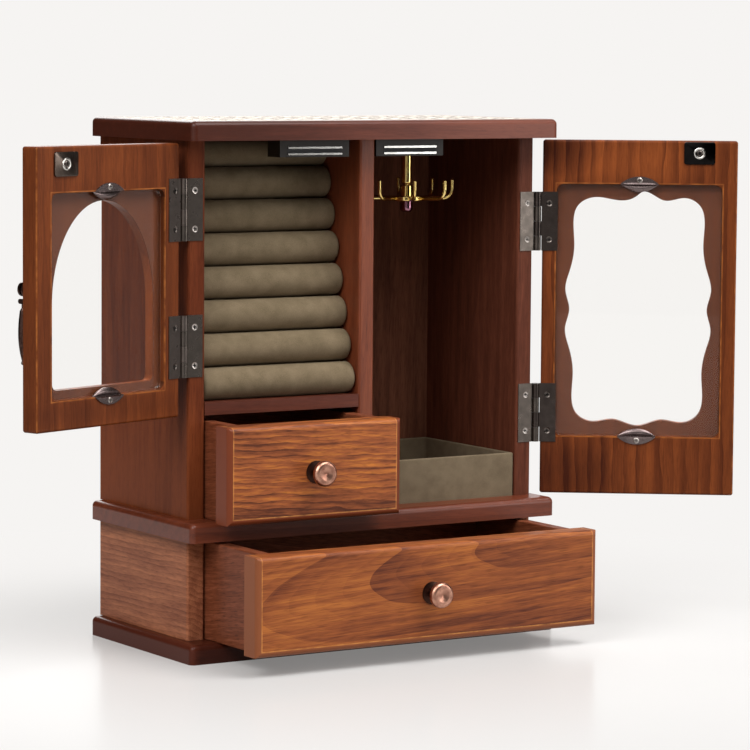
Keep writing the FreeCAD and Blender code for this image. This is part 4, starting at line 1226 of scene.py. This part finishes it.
@dataclass
class Studio:
    """A white floor that fades into a pale background, soft lamps, and the camera.

    Lengths are metres. The camera stands where the photograph was taken from. The fade is how
    far out the floor starts and ends turning into the background.
    """

    backdrop: str = "#F6F4F2"
    floor_white: str = "#DEDCDA"
    floor_bounce: str = "#A09C98"
    floor_radius: float = 6.0
    floor_sides: int = 96
    floor_roughness: float = 0.2
    floor_specular: float = 0.2
    fade: Pair = (0.16, 0.5)
    near_glow: float = 0.22
    daylight: str = "#FFFFFF"
    ambient: float = 0.15
    lamp_aim: Triple = (0.0, 0.0, 0.16)
    camera_place: Triple = (-1.1436, -1.8743, 0.3736)
    camera_yaw: float = -32.222
    camera_dip: float = 4.957
    camera_roll: float = 0.411
    camera_clip: Pair = (0.05, 50.0)
    focal_pixels: float = 3448.3
    image_size: float = 750.0
    axis_row: float = 348.46
    sensor: float = 36.0
    lamps: tuple[Softbox, ...] = (
        Softbox("key_softbox", (0.5, -1.1, 2.05), 1.4, 46.0),
        Softbox("right_softbox", (1.25, -1.3, 0.5), 0.8, 8.0),
        Softbox("fill_softbox", (-1.3, -1.8, 1.9), 1.4, 12.0),
        Softbox("left_softbox", (-1.8, -0.8, 1.7), 1.3, 37.0),
        Softbox("back_softbox", (0.9, 2.3, 1.5), 1.4, 22.0),
    )
    flags: tuple[Flag, ...] = (
        Flag("left_flag", (-0.85, 1.0), 2.0, 1.6),
        Flag("front_flag", (0.2, -1.25), 1.1, 0.9),
        Flag("right_flag", (0.85, -0.35), 0.6, 0.9),
        Flag("lens_flag", (-1.4, -2.25), 0.8, 0.9),
    )

    def build(self) -> None:
        """Make the floor, the world, the lamps, the flags and the camera."""
        self.make_floor()
        self.make_world()
        for lamp in self.lamps:
            self.make_lamp(lamp)
        for flag in self.flags:
            self.make_flag(flag)
        self.make_camera()
        bpy.context.scene.view_settings.view_transform = "Standard"

    def make_floor(self) -> None:
        """A disc that shows the object's shadow and its reflection."""
        shape = bmesh.new()
        bmesh.ops.create_circle(
            shape, cap_ends=True, radius=self.floor_radius, segments=self.floor_sides
        )
        add_object("floor", new_mesh(shape, "floor", self.floor_material()))

    def floor_material(self) -> Material:
        """White acrylic near the object, and the plain background further out.

        It throws less light up than it shows, as a floor does that black cards surround.

        Returns:
            The floor's material.
        """
        material, tree, surface = Finish("white_acrylic_floor").start()
        lit = add_node(tree, "LightPath").outputs["Is Diffuse Ray"]
        feed(surface, {
            "Base Color": stains_and_painted_light(tree, linear(self.floor_white), (lit, self.floor_bounce)),
            "Roughness": self.floor_roughness,
            "Specular IOR Level": self.floor_specular,
        })
        place = add_node(tree, "TexCoord").outputs["Object"]
        reach = add_node(tree, "VectorMath", {0: place}, {"operation": "LENGTH"}).outputs["Value"]
        inputs = {
            "Value": reach, "From Min": self.fade[0], "From Max": self.fade[1],
            "To Min": self.near_glow,
        }
        fade = add_node(tree, "MapRange", inputs, {"interpolation_type": "SMOOTHSTEP"}).outputs[0]
        share = formula(tree, "fade * seen", fade=fade, seen=self.seen_directly(tree))
        glow = add_node(tree, "Emission", {"Color": linear(self.backdrop)}).outputs[0]
        mixed = add_node(tree, "MixShader", {0: share, 1: surface.outputs[0], 2: glow})
        feed(tree.nodes["Material Output"], {"Surface": mixed.outputs[0]})
        return material

    def seen_directly(self, tree: NodeTree) -> NodeSocket:
        """One for a camera, mirror or glass ray, and nought for a ray that lights.

        Args:
            tree: The node tree of the floor or the world.

        Returns:
            The socket that tells them apart.
        """
        path = add_node(tree, "LightPath").outputs
        return formula(
            tree, "most(seen, most(glossy, through))", seen=path["Is Camera Ray"],
            glossy=path["Is Glossy Ray"], through=path["Is Transmission Ray"],
        )

    def make_world(self) -> None:
        """Soft light from all round, and the background's own colour where it is seen."""
        world = bpy.data.worlds.new("studio")
        world.use_nodes = True
        tree = world.node_tree
        tree.nodes.clear()
        inputs = {"Color": linear(self.daylight), "Strength": self.ambient}
        light = add_node(tree, "Background", inputs).outputs[0]
        wall = add_node(tree, "Background", {"Color": linear(self.backdrop)}).outputs[0]
        mixed = add_node(tree, "MixShader", {0: self.seen_directly(tree), 1: light, 2: wall})
        add_node(tree, "OutputWorld", {"Surface": mixed.outputs[0]})
        bpy.context.scene.world = world

    def make_lamp(self, softbox: Softbox) -> None:
        """Hang a softbox that faces the middle of the object.

        Args:
            softbox: The lamp's name, place, size and power.
        """
        data = bpy.data.lights.new(softbox.name, "AREA")
        data.size = softbox.size
        data.energy = softbox.power
        spot = Vector(softbox.spot)
        facing = (Vector(self.lamp_aim) - spot).to_track_quat("-Z", "Y").to_matrix().to_4x4()
        add_object(softbox.name, data).matrix_world = Matrix.Translation(spot) @ facing

    def make_flag(self, flag: Flag) -> None:
        """Stand a dark card that faces the object.

        Args:
            flag: The card's name, place and size.
        """
        shape = bmesh.new()
        bmesh.ops.create_grid(shape, x_segments=1, y_segments=1, size=0.5)
        spot = Vector((*flag.spot, flag.height / 2))
        facing = Vector((*flag.spot, 0.0)).to_track_quat("Z", "Y").to_matrix().to_4x4()
        spread = Matrix.Diagonal((flag.width, flag.height, 1.0, 1.0))
        shape.transform(Matrix.Translation(spot) @ facing @ spread)
        card = add_object(flag.name, new_mesh(shape, flag.name, FLAG_CLOTH.material()))
        card.visible_camera = card.visible_diffuse = card.visible_shadow = False
        card.visible_transmission = card.visible_volume_scatter = False

    def make_camera(self) -> None:
        """Stand the camera at the photograph's place and angle."""
        data = bpy.data.cameras.new("camera")
        data.sensor_width = self.sensor
        data.lens = self.focal_pixels / self.image_size * self.sensor
        data.shift_y = (self.axis_row - self.image_size / 2) / self.image_size
        data.clip_start, data.clip_end = self.camera_clip
        aim = turned(self.camera_yaw, "Z") @ turned(90.0 - self.camera_dip, "X")
        camera = add_object("camera", data)
        place = Matrix.Translation(Vector(self.camera_place))
        camera.matrix_world = place @ aim @ turned(self.camera_roll, "Z")
        bpy.context.scene.camera = camera


@dataclass
class Case:
    """The three plates, the sides, the partition, the shelf, the backs and the inlay."""

    def build(self) -> None:
        """Dress the case's boards."""
        dress(PLATES, "top_plate", "ring_shelf")
        dress(MID_PLATE, "mid_plate")
        dress(BASE_PLATE, "base_plate")
        dress(SIDES, "upper_left_side")
        dress(PARTITION, "centre_partition")
        dress(RIGHT_SIDE, "upper_right_side")
        dress(LOWER_SIDES, "lower_left_side", "lower_right_side")
        dress(BACKS, "upper_back_panel", "lower_back_panel")
        dress(INLAY, "top_inlay")


@dataclass
class SoftPads:
    """Crowned velvet pads: the linings of the drawers and of the tray.

    The edge is the share of the full height that a pad keeps at its rim, and the firmness
    says how late it falls away to it.
    """

    cells: int = 24
    edge: float = 0.35
    firmness: int = 8

    def make(
        self, name: str, body: str, low: Vector, high: Vector, stands_for: tuple[str, ...]
    ) -> Object:
        """Make a pad that is full in its middle and thin at its edges.

        Args:
            name: The pad's name.
            body: The body that it moves with.
            low: Its lowest corner, in metres.
            high: Its highest corner, in metres.
            stands_for: The CAD nodes that it replaces.

        Returns:
            The pad.
        """
        size = high - low
        shape = bmesh.new()
        bmesh.ops.create_grid(shape, x_segments=self.cells, y_segments=self.cells, size=1.0)
        for vert in shape.verts:
            full = (1 - abs(vert.co.x) ** self.firmness) * (1 - abs(vert.co.y) ** self.firmness)
            vert.co.z = size.z * (self.edge + (1 - self.edge) * full)
        found = bmesh.ops.extrude_face_region(shape, geom=shape.faces[:])
        for vert in made(found, BMVert):
            vert.co.z = 0.0
        spread = Matrix.Diagonal((size.x / 2, size.y / 2, 1.0, 1.0))
        middle = Vector(((low.x + high.x) / 2, (low.y + high.y) / 2, low.z))
        shape.transform(Matrix.Translation(middle) @ spread)
        pad = add_piece(shape, name, body, (TRAY_VELVET,), stands_for, sharp=60.0)
        return pad


@dataclass
class RingBed:
    """Eight firm velvet rolls, each set back from the one below. Millimetres."""

    count: int = 8
    pitch: float = 20.3
    gap: float = 0.3
    step: float = 5.0
    depth: float = 15.3
    end_radius: float = 2.6
    end_steps: int = 5
    span: float = 6.0
    sides: int = 48
    unevenness: float = 0.12
    seed: int = 20

    def build(self) -> None:
        """Make the rolls and dress the board behind them."""
        draw = random.Random(self.seed)
        for number in range(self.count):
            name = f"ring_roll_{number + 1}"
            names = ("ring_rolls",) if number == 0 else ()
            shape = self.roll(number, draw)
            roll = add_piece(shape, name, "case", (ROLL_VELVET,), names)
        dress(ROLL_VELVET, "ring_bed_board")

    def roll(self, number: int, draw: random.Random) -> BMesh:
        """Shape one roll: a flat-backed bolster with rounded ends.

        Args:
            number: Which roll, counted up from the shelf.
            draw: The source of the small unevenness of its filling.

        Returns:
            The shape, in metres and in place.
        """
        low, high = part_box("ring_rolls")
        foot = low.z + number * self.pitch * MM
        height = min((self.pitch - self.gap) * MM, high.z - foot)
        radius = height / 2
        front = low.y + number * self.step * MM
        shape = bmesh.new()
        bmesh.ops.create_circle(shape, radius=radius, segments=self.sides)
        bmesh.ops.rotate(shape, verts=shape.verts, matrix=turned(90.0, "Y").to_3x3())
        back = self.depth * MM - radius
        for vert in shape.verts:
            vert.co.y = min(vert.co.y, back)
        stations = self.stations(high.x - low.x, radius, draw)
        bmesh.ops.scale(shape, vec=(1.0, stations[0][1], stations[0][1]), verts=shape.verts)
        ring = shape.edges[:]
        for (before, small), (after, large) in zip(stations[:-1], stations[1:]):
            found = bmesh.ops.extrude_edge_only(shape, edges=ring)
            verts = made(found, BMVert)
            ring = made(found, BMEdge)
            growth = large / small
            bmesh.ops.scale(shape, vec=(1.0, growth, growth), verts=verts)
            bmesh.ops.translate(shape, vec=(after - before, 0.0, 0.0), verts=verts)
        bmesh.ops.holes_fill(shape, edges=shape.edges)
        place = (low.x, front + radius, foot + radius)
        bmesh.ops.translate(shape, vec=place, verts=shape.verts)
        return shape

    def stations(self, length: float, radius: float, draw: random.Random) -> list[Pair]:
        """Where the roll's outline is set along its length, and how full it is there.

        Args:
            length: The roll's length in metres.
            radius: Its radius in metres.
            draw: The source of the small unevenness of its filling.

        Returns:
            Pairs of a distance from the left end and a share of the full outline.
        """
        end = self.end_radius * MM
        rounding = []
        for index in range(self.end_steps + 1):
            angle = math.radians(90.0 * index / self.end_steps)
            full = 1 - end * (1 - math.sin(angle)) / radius
            rounding.append((end * (1 - math.cos(angle)), full))
        count = round((length - 2 * end) / (self.span * MM))
        spacing = (length - 2 * end) / count
        middle = []
        for index in range(1, count):
            full = 1 - draw.random() * self.unevenness * MM / radius
            middle.append((end + index * spacing, full))
        return rounding + middle + [(length - x, full) for x, full in reversed(rounding)]


@dataclass
class Tray:
    """The open velvet tray: a soft-edged shell and a crowned pad on its floor. Millimetres."""

    wall: float = 3.5
    floor: float = 4.0
    rim: float = 1.5
    corner: float = 1.8
    round_steps: int = 4
    pad_thickness: float = 2.0

    def build(self) -> None:
        """Make the shell and its pad."""
        low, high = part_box("velvet_tray")
        size = high - low
        shape = block(size, (low + high) / 2)
        shape.faces.ensure_lookup_table()
        top = max(shape.faces, key=lambda face: face.calc_center_median().z)
        bmesh.ops.inset_region(shape, faces=[top], thickness=self.wall * MM)
        found = bmesh.ops.extrude_face_region(shape, geom=[top])
        drop = self.floor * MM - size.z
        bmesh.ops.translate(shape, vec=(0.0, 0.0, drop), verts=made(found, BMVert))
        bmesh.ops.delete(shape, geom=[top], context="FACES_ONLY")
        bmesh.ops.recalc_face_normals(shape, faces=shape.faces)
        upright = upright_edges(shape, size.z / 2)
        round_edges(shape, upright, self.corner * MM, self.round_steps)
        rim = [e for e in edges_above(shape, high.z - NEARLY * MM) if self.at_rim(e)]
        round_edges(shape, rim, self.rim * MM, self.round_steps)
        shell = add_piece(shape, "tray_shell", "case", (TRAY_VELVET,), ("velvet_tray",))
        inset = Vector((self.wall, self.wall, 0.0)) * MM
        base = Vector((low.x, low.y, low.z + self.floor * MM)) + inset
        top_corner = Vector((high.x, high.y, base.z + self.pad_thickness * MM)) - inset
        SoftPads().make("tray_floor_pad", "case", base, top_corner, ())

    def at_rim(self, edge: BMEdge) -> bool:
        """Whether an edge bounds the flat rim on one side and a wall on the other."""
        level = [abs(face.normal.z) > 0.9 for face in edge.link_faces]
        return any(level) and not all(level)


@dataclass
class Drawers:
    """The fronts, boxes, knobs and linings of the two drawers."""

    def build(self) -> None:
        """Dress the drawers and lay their linings."""
        looks = {"large": (LARGE_FRONT, LARGE_KNOB), "small": (SMALL_FRONT, SMALL_KNOB)}
        for name, (front, knob) in looks.items():
            dress(front, f"{name}_drawer_front")
            dress(knob, f"{name}_drawer_knob")
            parts = ("left_side", "right_side", "bottom")
            dress(DRAWER_BOX, *(f"{name}_drawer_{part}" for part in parts))
            dress(DRAWER_BACK, f"{name}_drawer_back")
            lining = f"{name}_drawer_lining"
            low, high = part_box(lining)
            SoftPads().make(f"{name}_drawer_pad", f"{name}_drawer", low, high, (lining,))


@dataclass(frozen=True)
class Screw:
    """A countersunk screw with a crossed recess in its head. Millimetres.

    The dome is how far the head's middle stands out; a negative one is dished, and leaves a
    hinge room to close. The arm spread is half the angle of a recess's arm in degrees, and
    the taper is the share of its width that its floor keeps.
    """

    head: float = 2.0
    cone: float = 1.0
    shank: float = 0.9
    length: float = 9.0
    dome: float = -0.25
    rim: float = 0.45
    arm: float = 1.15
    arm_spread: float = 15.0
    recess: float = 0.7
    recess_taper: float = 0.7
    sides: int = 24

    def shape(self, place: Matrix) -> BMesh:
        """Shape the screw.

        Args:
            place: Where its head's middle lies, with the Z axis pointing out of the head.

        Returns:
            The shape, in metres and in place, with the recess as its second material.
        """
        shape = bmesh.new()
        bmesh.ops.create_circle(shape, radius=self.head, segments=self.sides)
        rim = shape.edges[:]
        crown = self.next_ring(shape, rim, self.dome, lambda spot: self.head - self.rim)
        cross = self.next_ring(shape, crown, self.dome, self.cross_reach)
        floor = self.next_ring(
            shape, cross, self.dome - self.recess,
            lambda spot: self.recess_taper * self.cross_reach(spot),
        )
        bmesh.ops.holes_fill(shape, edges=floor)
        # The recess takes the second material, painted near black as the shade that it holds.
        for face in shape.faces:
            if face.calc_center_median().z < self.dome - self.recess / 4:
                face.material_index = 1
        neck = self.next_ring(shape, rim, -self.cone, lambda spot: self.shank)
        tip = self.next_ring(shape, neck, -self.length, lambda spot: self.shank)
        bmesh.ops.holes_fill(shape, edges=tip)
        shape.transform(place @ TO_METRES)
        return shape

    def next_ring(
        self, shape: BMesh, edges: list[BMEdge], level: float, reach: Callable[[Vector], float]
    ) -> list[BMEdge]:
        """Extrude a ring of edges to the next ring of the outline.

        Args:
            shape: The screw so far.
            edges: The ring to go on from.
            level: The height of the next ring.
            reach: How far it lies from the middle, in the direction of a point.

        Returns:
            The next ring's edges.
        """
        found = bmesh.ops.extrude_edge_only(shape, edges=edges)
        for vert in made(found, BMVert):
            vert.co.xy = vert.co.xy.normalized() * reach(vert.co)
            vert.co.z = level
        return made(found, BMEdge)

    def cross_reach(self, spot: Vector) -> float:
        """How far the crossed recess reaches in the direction of a point.

        Args:
            spot: The point, counted from the middle of the head.

        Returns:
            The distance from the middle to the recess's outline.
        """
        long, short = sorted((abs(spot.x), abs(spot.y)), reverse=True)
        angle = math.atan2(short, long)
        side = self.arm * math.tan(math.radians(self.arm_spread))
        return min(self.arm / math.cos(angle), side / max(math.sin(angle), TINY))


@dataclass(frozen=True)
class GlassClip:
    """A leaf-shaped spring clip, bent at its long axis to step down onto the glass. Millimetres.

    The step is how far its glass half lies below its wood half, the bulge how far that half
    swells, and the bead how far the bend between them stands up. The tip is the share of the
    length that is drawn, so that the leaf's points keep a little width.
    """

    length: float = 25.0
    width: float = 10.0
    thickness: float = 0.8
    step: float = 2.5
    bulge: float = 1.2
    bead: float = 0.45
    face: float = 0.2
    tip: float = 0.995
    columns: int = 28
    rows: int = 12

    def shape(self, place: Matrix) -> BMesh:
        """Shape the clip.

        Args:
            place: The middle of its bend, with Y towards the wood and Z out of the door.

        Returns:
            The shape, in metres and in place.
        """
        half_long, half_wide = self.length / 2, self.width / 2
        sweep = (half_long ** 2 + half_wide ** 2) / (2 * half_wide)
        shape = bmesh.new()
        bmesh.ops.create_grid(shape, x_segments=self.columns, y_segments=self.rows, size=1.0)
        for vert in shape.verts:
            share = vert.co.y
            vert.co.x *= half_long * self.tip
            reach = math.sqrt(sweep ** 2 - vert.co.x ** 2) - sweep + half_wide
            vert.co.y *= reach
            crown = math.sin(math.pi * abs(share)) * reach / half_wide
            if share < -NEARLY:
                vert.co.z = self.face - self.step + self.bulge * crown
            else:
                vert.co.z = self.face + self.bead * max(0.0, 1 - share * self.rows / 2)
        found = bmesh.ops.extrude_face_region(shape, geom=shape.faces[:])
        bmesh.ops.translate(shape, vec=(0.0, 0.0, -self.thickness), verts=made(found, BMVert))
        shape.transform(place @ TO_METRES)
        return shape


@dataclass(frozen=True)
class Pane:
    """A pane with ground edges, a hair clear of the wood that it rests on. Millimetres."""

    clearance: float = 0.4
    corner: float = 4.6
    corner_steps: int = 8
    front: float = -3.1
    back: float = -6.04
    arris: float = 0.45

    def shape(self, door: Door) -> BMesh:
        """Shape the pane of a door.

        Args:
            door: The door whose rebate it fills.

        Returns:
            The shape, in metres and in place.
        """
        height = door.glass_high - door.glass_low
        thickness = self.front - self.back
        gap = 2 * self.clearance
        size = Vector((2 * door.glass_half - gap, height - gap, thickness))
        shape = block(size, Vector())
        round_edges(shape, upright_edges(shape, self.arris), self.corner, self.corner_steps)
        round_edges(shape, edges_above(shape, thickness / 2 - NEARLY), self.arris, 1)
        middle = door.placed(door.glass_middle, 0.0, door.glass_low + height / 2)
        depth = Matrix.Translation((0.0, 0.0, (self.front + self.back) / 2))
        shape.transform(middle @ TO_METRES @ depth)
        return shape


@dataclass(frozen=True)
class StrikePlate:
    """The plate that the catch's poles hold, with a raised eyelet round its screw. Millimetres."""

    length: float = 20.0
    height: float = 14.4
    thickness: float = 1.0
    face: float = 0.4
    corner: float = 1.6
    corner_steps: int = 4
    rim: float = 0.35
    rim_steps: int = 2
    eyelet: float = 3.0
    eyelet_steps: int = 40
    bead: float = 0.7
    bead_sides: int = 12
    rise: float = 0.35

    def shape(self, place: Matrix) -> BMesh:
        """Shape the plate, with its eyelet as the second material.

        Args:
            place: The middle of the plate, with Z out of the door.

        Returns:
            The shape, in metres and in place.
        """
        size = Vector((self.length, self.height, self.thickness))
        plate = block(size, Vector((0.0, 0.0, self.face - self.thickness / 2)))
        round_edges(plate, upright_edges(plate, self.rim), self.corner, self.corner_steps)
        round_edges(plate, edges_above(plate, self.face - NEARLY), self.rim, self.rim_steps)
        ring = bmesh.new()
        bmesh.ops.create_circle(ring, radius=self.bead, segments=self.bead_sides)
        oval = Matrix.Diagonal((1.0, 1.0, self.rise / self.bead, 1.0))
        middle = Matrix.Translation((self.eyelet, 0.0, self.face))
        ring.transform(middle @ oval @ turned(90.0, "X"))
        bmesh.ops.spin(
            ring, geom=ring.verts[:] + ring.edges[:], cent=(0.0, 0.0, 0.0), axis=(0.0, 0.0, 1.0),
            angle=math.tau, steps=self.eyelet_steps, use_merge=True, use_duplicate=False,
        )
        for face in ring.faces:
            face.material_index = 1
        whole = gather([plate, ring])
        whole.transform(place @ TO_METRES)
        return whole


@dataclass
class DoorFittings:
    """The doors' frames and panes, clips, strike plates, pulls and every small screw."""

    clip_screw_inset: float = 2.5
    clip_screw_face: float = 0.25
    strike_face: float = 0.41
    hinge_screw_across: float = 7.7
    hinge_screw_face: float = -0.1
    hinge_screw_spread: float = 11.7
    case_screw_across: float = 122.5
    case_screw_line: float = -48.5

    def build(self) -> None:
        """Dress the doors and make their fittings."""
        # The left door's leaves wear painted light, the right door's painted shade, and the right
        # strike a painted dark reflection.
        for door, wood, strike, leaf in (
            (LEFT_DOOR, LEFT_DOOR_WOOD, STRIKE_NICKEL, HINGE_PAINTED_LIGHT),
            (RIGHT_DOOR, RIGHT_DOOR_WOOD, STRIKE_DARK_REFLECTION, HINGE_PAINTED_SHADE),
        ):
            side, body = door.side, f"{door.side}_door"
            dress(wood, f"{side}_door_frame")
            add_piece(
                Pane().shape(door), f"{side}_glass_pane", body, (PANE,),
                (f"{side}_door_glass",), sharp=20.0,
            )
            dress(PULL, f"{side}_pull_mount", f"{side}_pull_pin", f"{side}_pull_drop")
            dress(leaf, f"{side}_hinge_door_leaves")
            self.make_clips(door, body)
            plate = StrikePlate().shape(door.placed(door.strike_across, 0.0, door.strike))
            add_piece(
                plate, f"{side}_strike_and_eyelet", body, (strike, EYELET),
                (f"{side}_door_strike_plate",),
            )
            self.make_door_screws(door, body)
        self.make_case_screws()
        dress(HINGE, "hinge_case_leaves", "hinge_pins")
        dress(SCREW, "ceiling_screws")

    def make_clips(self, door: Door, body: str) -> None:
        """Make a door's two glass clips.

        Args:
            door: The door that they hold the glass of.
            body: The body that they ride on.
        """
        clips = []
        for edge, turn in ((door.glass_high, 180.0), (door.glass_low, 0.0)):
            place = door.placed(door.glass_middle, 0.0, edge)
            clips.append(GlassClip().shape(place @ turned(turn, "Z")))
        add_piece(
            gather(clips), f"{door.side}_leaf_clips", body, (CLIP,),
            (f"{door.side}_door_clips",), sharp=50.0,
        )

    def hinge_screw_heights(self, door: Door) -> list[float]:
        """The heights of the two screws in each leaf of a door's hinges."""
        ways = (self.hinge_screw_spread, -self.hinge_screw_spread)
        return [height + way for height in door.hinges for way in ways]

    def make_door_screws(self, door: Door, body: str) -> None:
        """Make the screws of a door's clips, of its strike plate and of its hinge leaves.

        Args:
            door: The door that they are in.
            body: The body that they ride on.
        """
        trim = Screw(head=1.9, cone=0.8, shank=1.0, length=7.0, dome=0.32)
        inset = self.clip_screw_inset
        screws = [
            trim.shape(door.placed(door.glass_middle, self.clip_screw_face, height))
            for height in (door.glass_high + inset, door.glass_low - inset)
        ]
        strike = trim.shape(door.placed(door.strike_across, self.strike_face, door.strike))
        for face in strike.faces:
            face.material_index += 2
        add_piece(
            gather([*screws, strike]), f"{door.side}_trim_cross_screws", body,
            (SCREW, RECESS, SCREW_DARK, RECESS), (f"{door.side}_door_trim_screws",),
        )
        hinge = [
            Screw().shape(door.placed(self.hinge_screw_across, self.hinge_screw_face, height))
            for height in self.hinge_screw_heights(door)
        ]
        add_piece(
            gather(hinge), f"{door.side}_hinge_cross_screws", body, (SCREW_DARK, RECESS),
            (f"{door.side}_hinge_door_screws",),
        )

    def make_case_screws(self) -> None:
        """Make the screws that hold the hinges to the case."""
        screws = []
        for door in (LEFT_DOOR, RIGHT_DOOR):
            for height in self.hinge_screw_heights(door):
                spot = Vector((-door.sign * self.case_screw_across, self.case_screw_line, height))
                screws.append(Screw().shape(Matrix.Translation(spot * MM) @ turned(90.0, "X")))
        add_piece(
            gather(screws), "case_hinge_cross_screws", "case", (SCREW, RECESS),
            ("hinge_case_screws",),
        )


@dataclass
class CaseFittings:
    """The magnetic catches and the necklace carousel."""

    def build(self) -> None:
        """Dress the catches and the carousel."""
        dress(HOUSING, "catch_housings")
        dress(MAGNET, "catch_magnets")
        dress(POLES, "catch_pole_plates")
        dress(BRASS, "carousel_post", "carousel_hub", "carousel_hooks")
        dress(NUT, "carousel_cap_nut")


def main() -> None:
    """Build the studio and dress every sub-assembly in turn."""
    logging.basicConfig(level=logging.INFO, format="%(name)s: %(message)s")
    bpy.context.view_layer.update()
    parts = (Studio(), Case(), RingBed(), Tray(), Drawers(), DoorFittings(), CaseFittings())
    for part in parts:
        LOG.info("building %s", type(part).__name__)
        part.build()


if __name__ == "__main__":
    main()
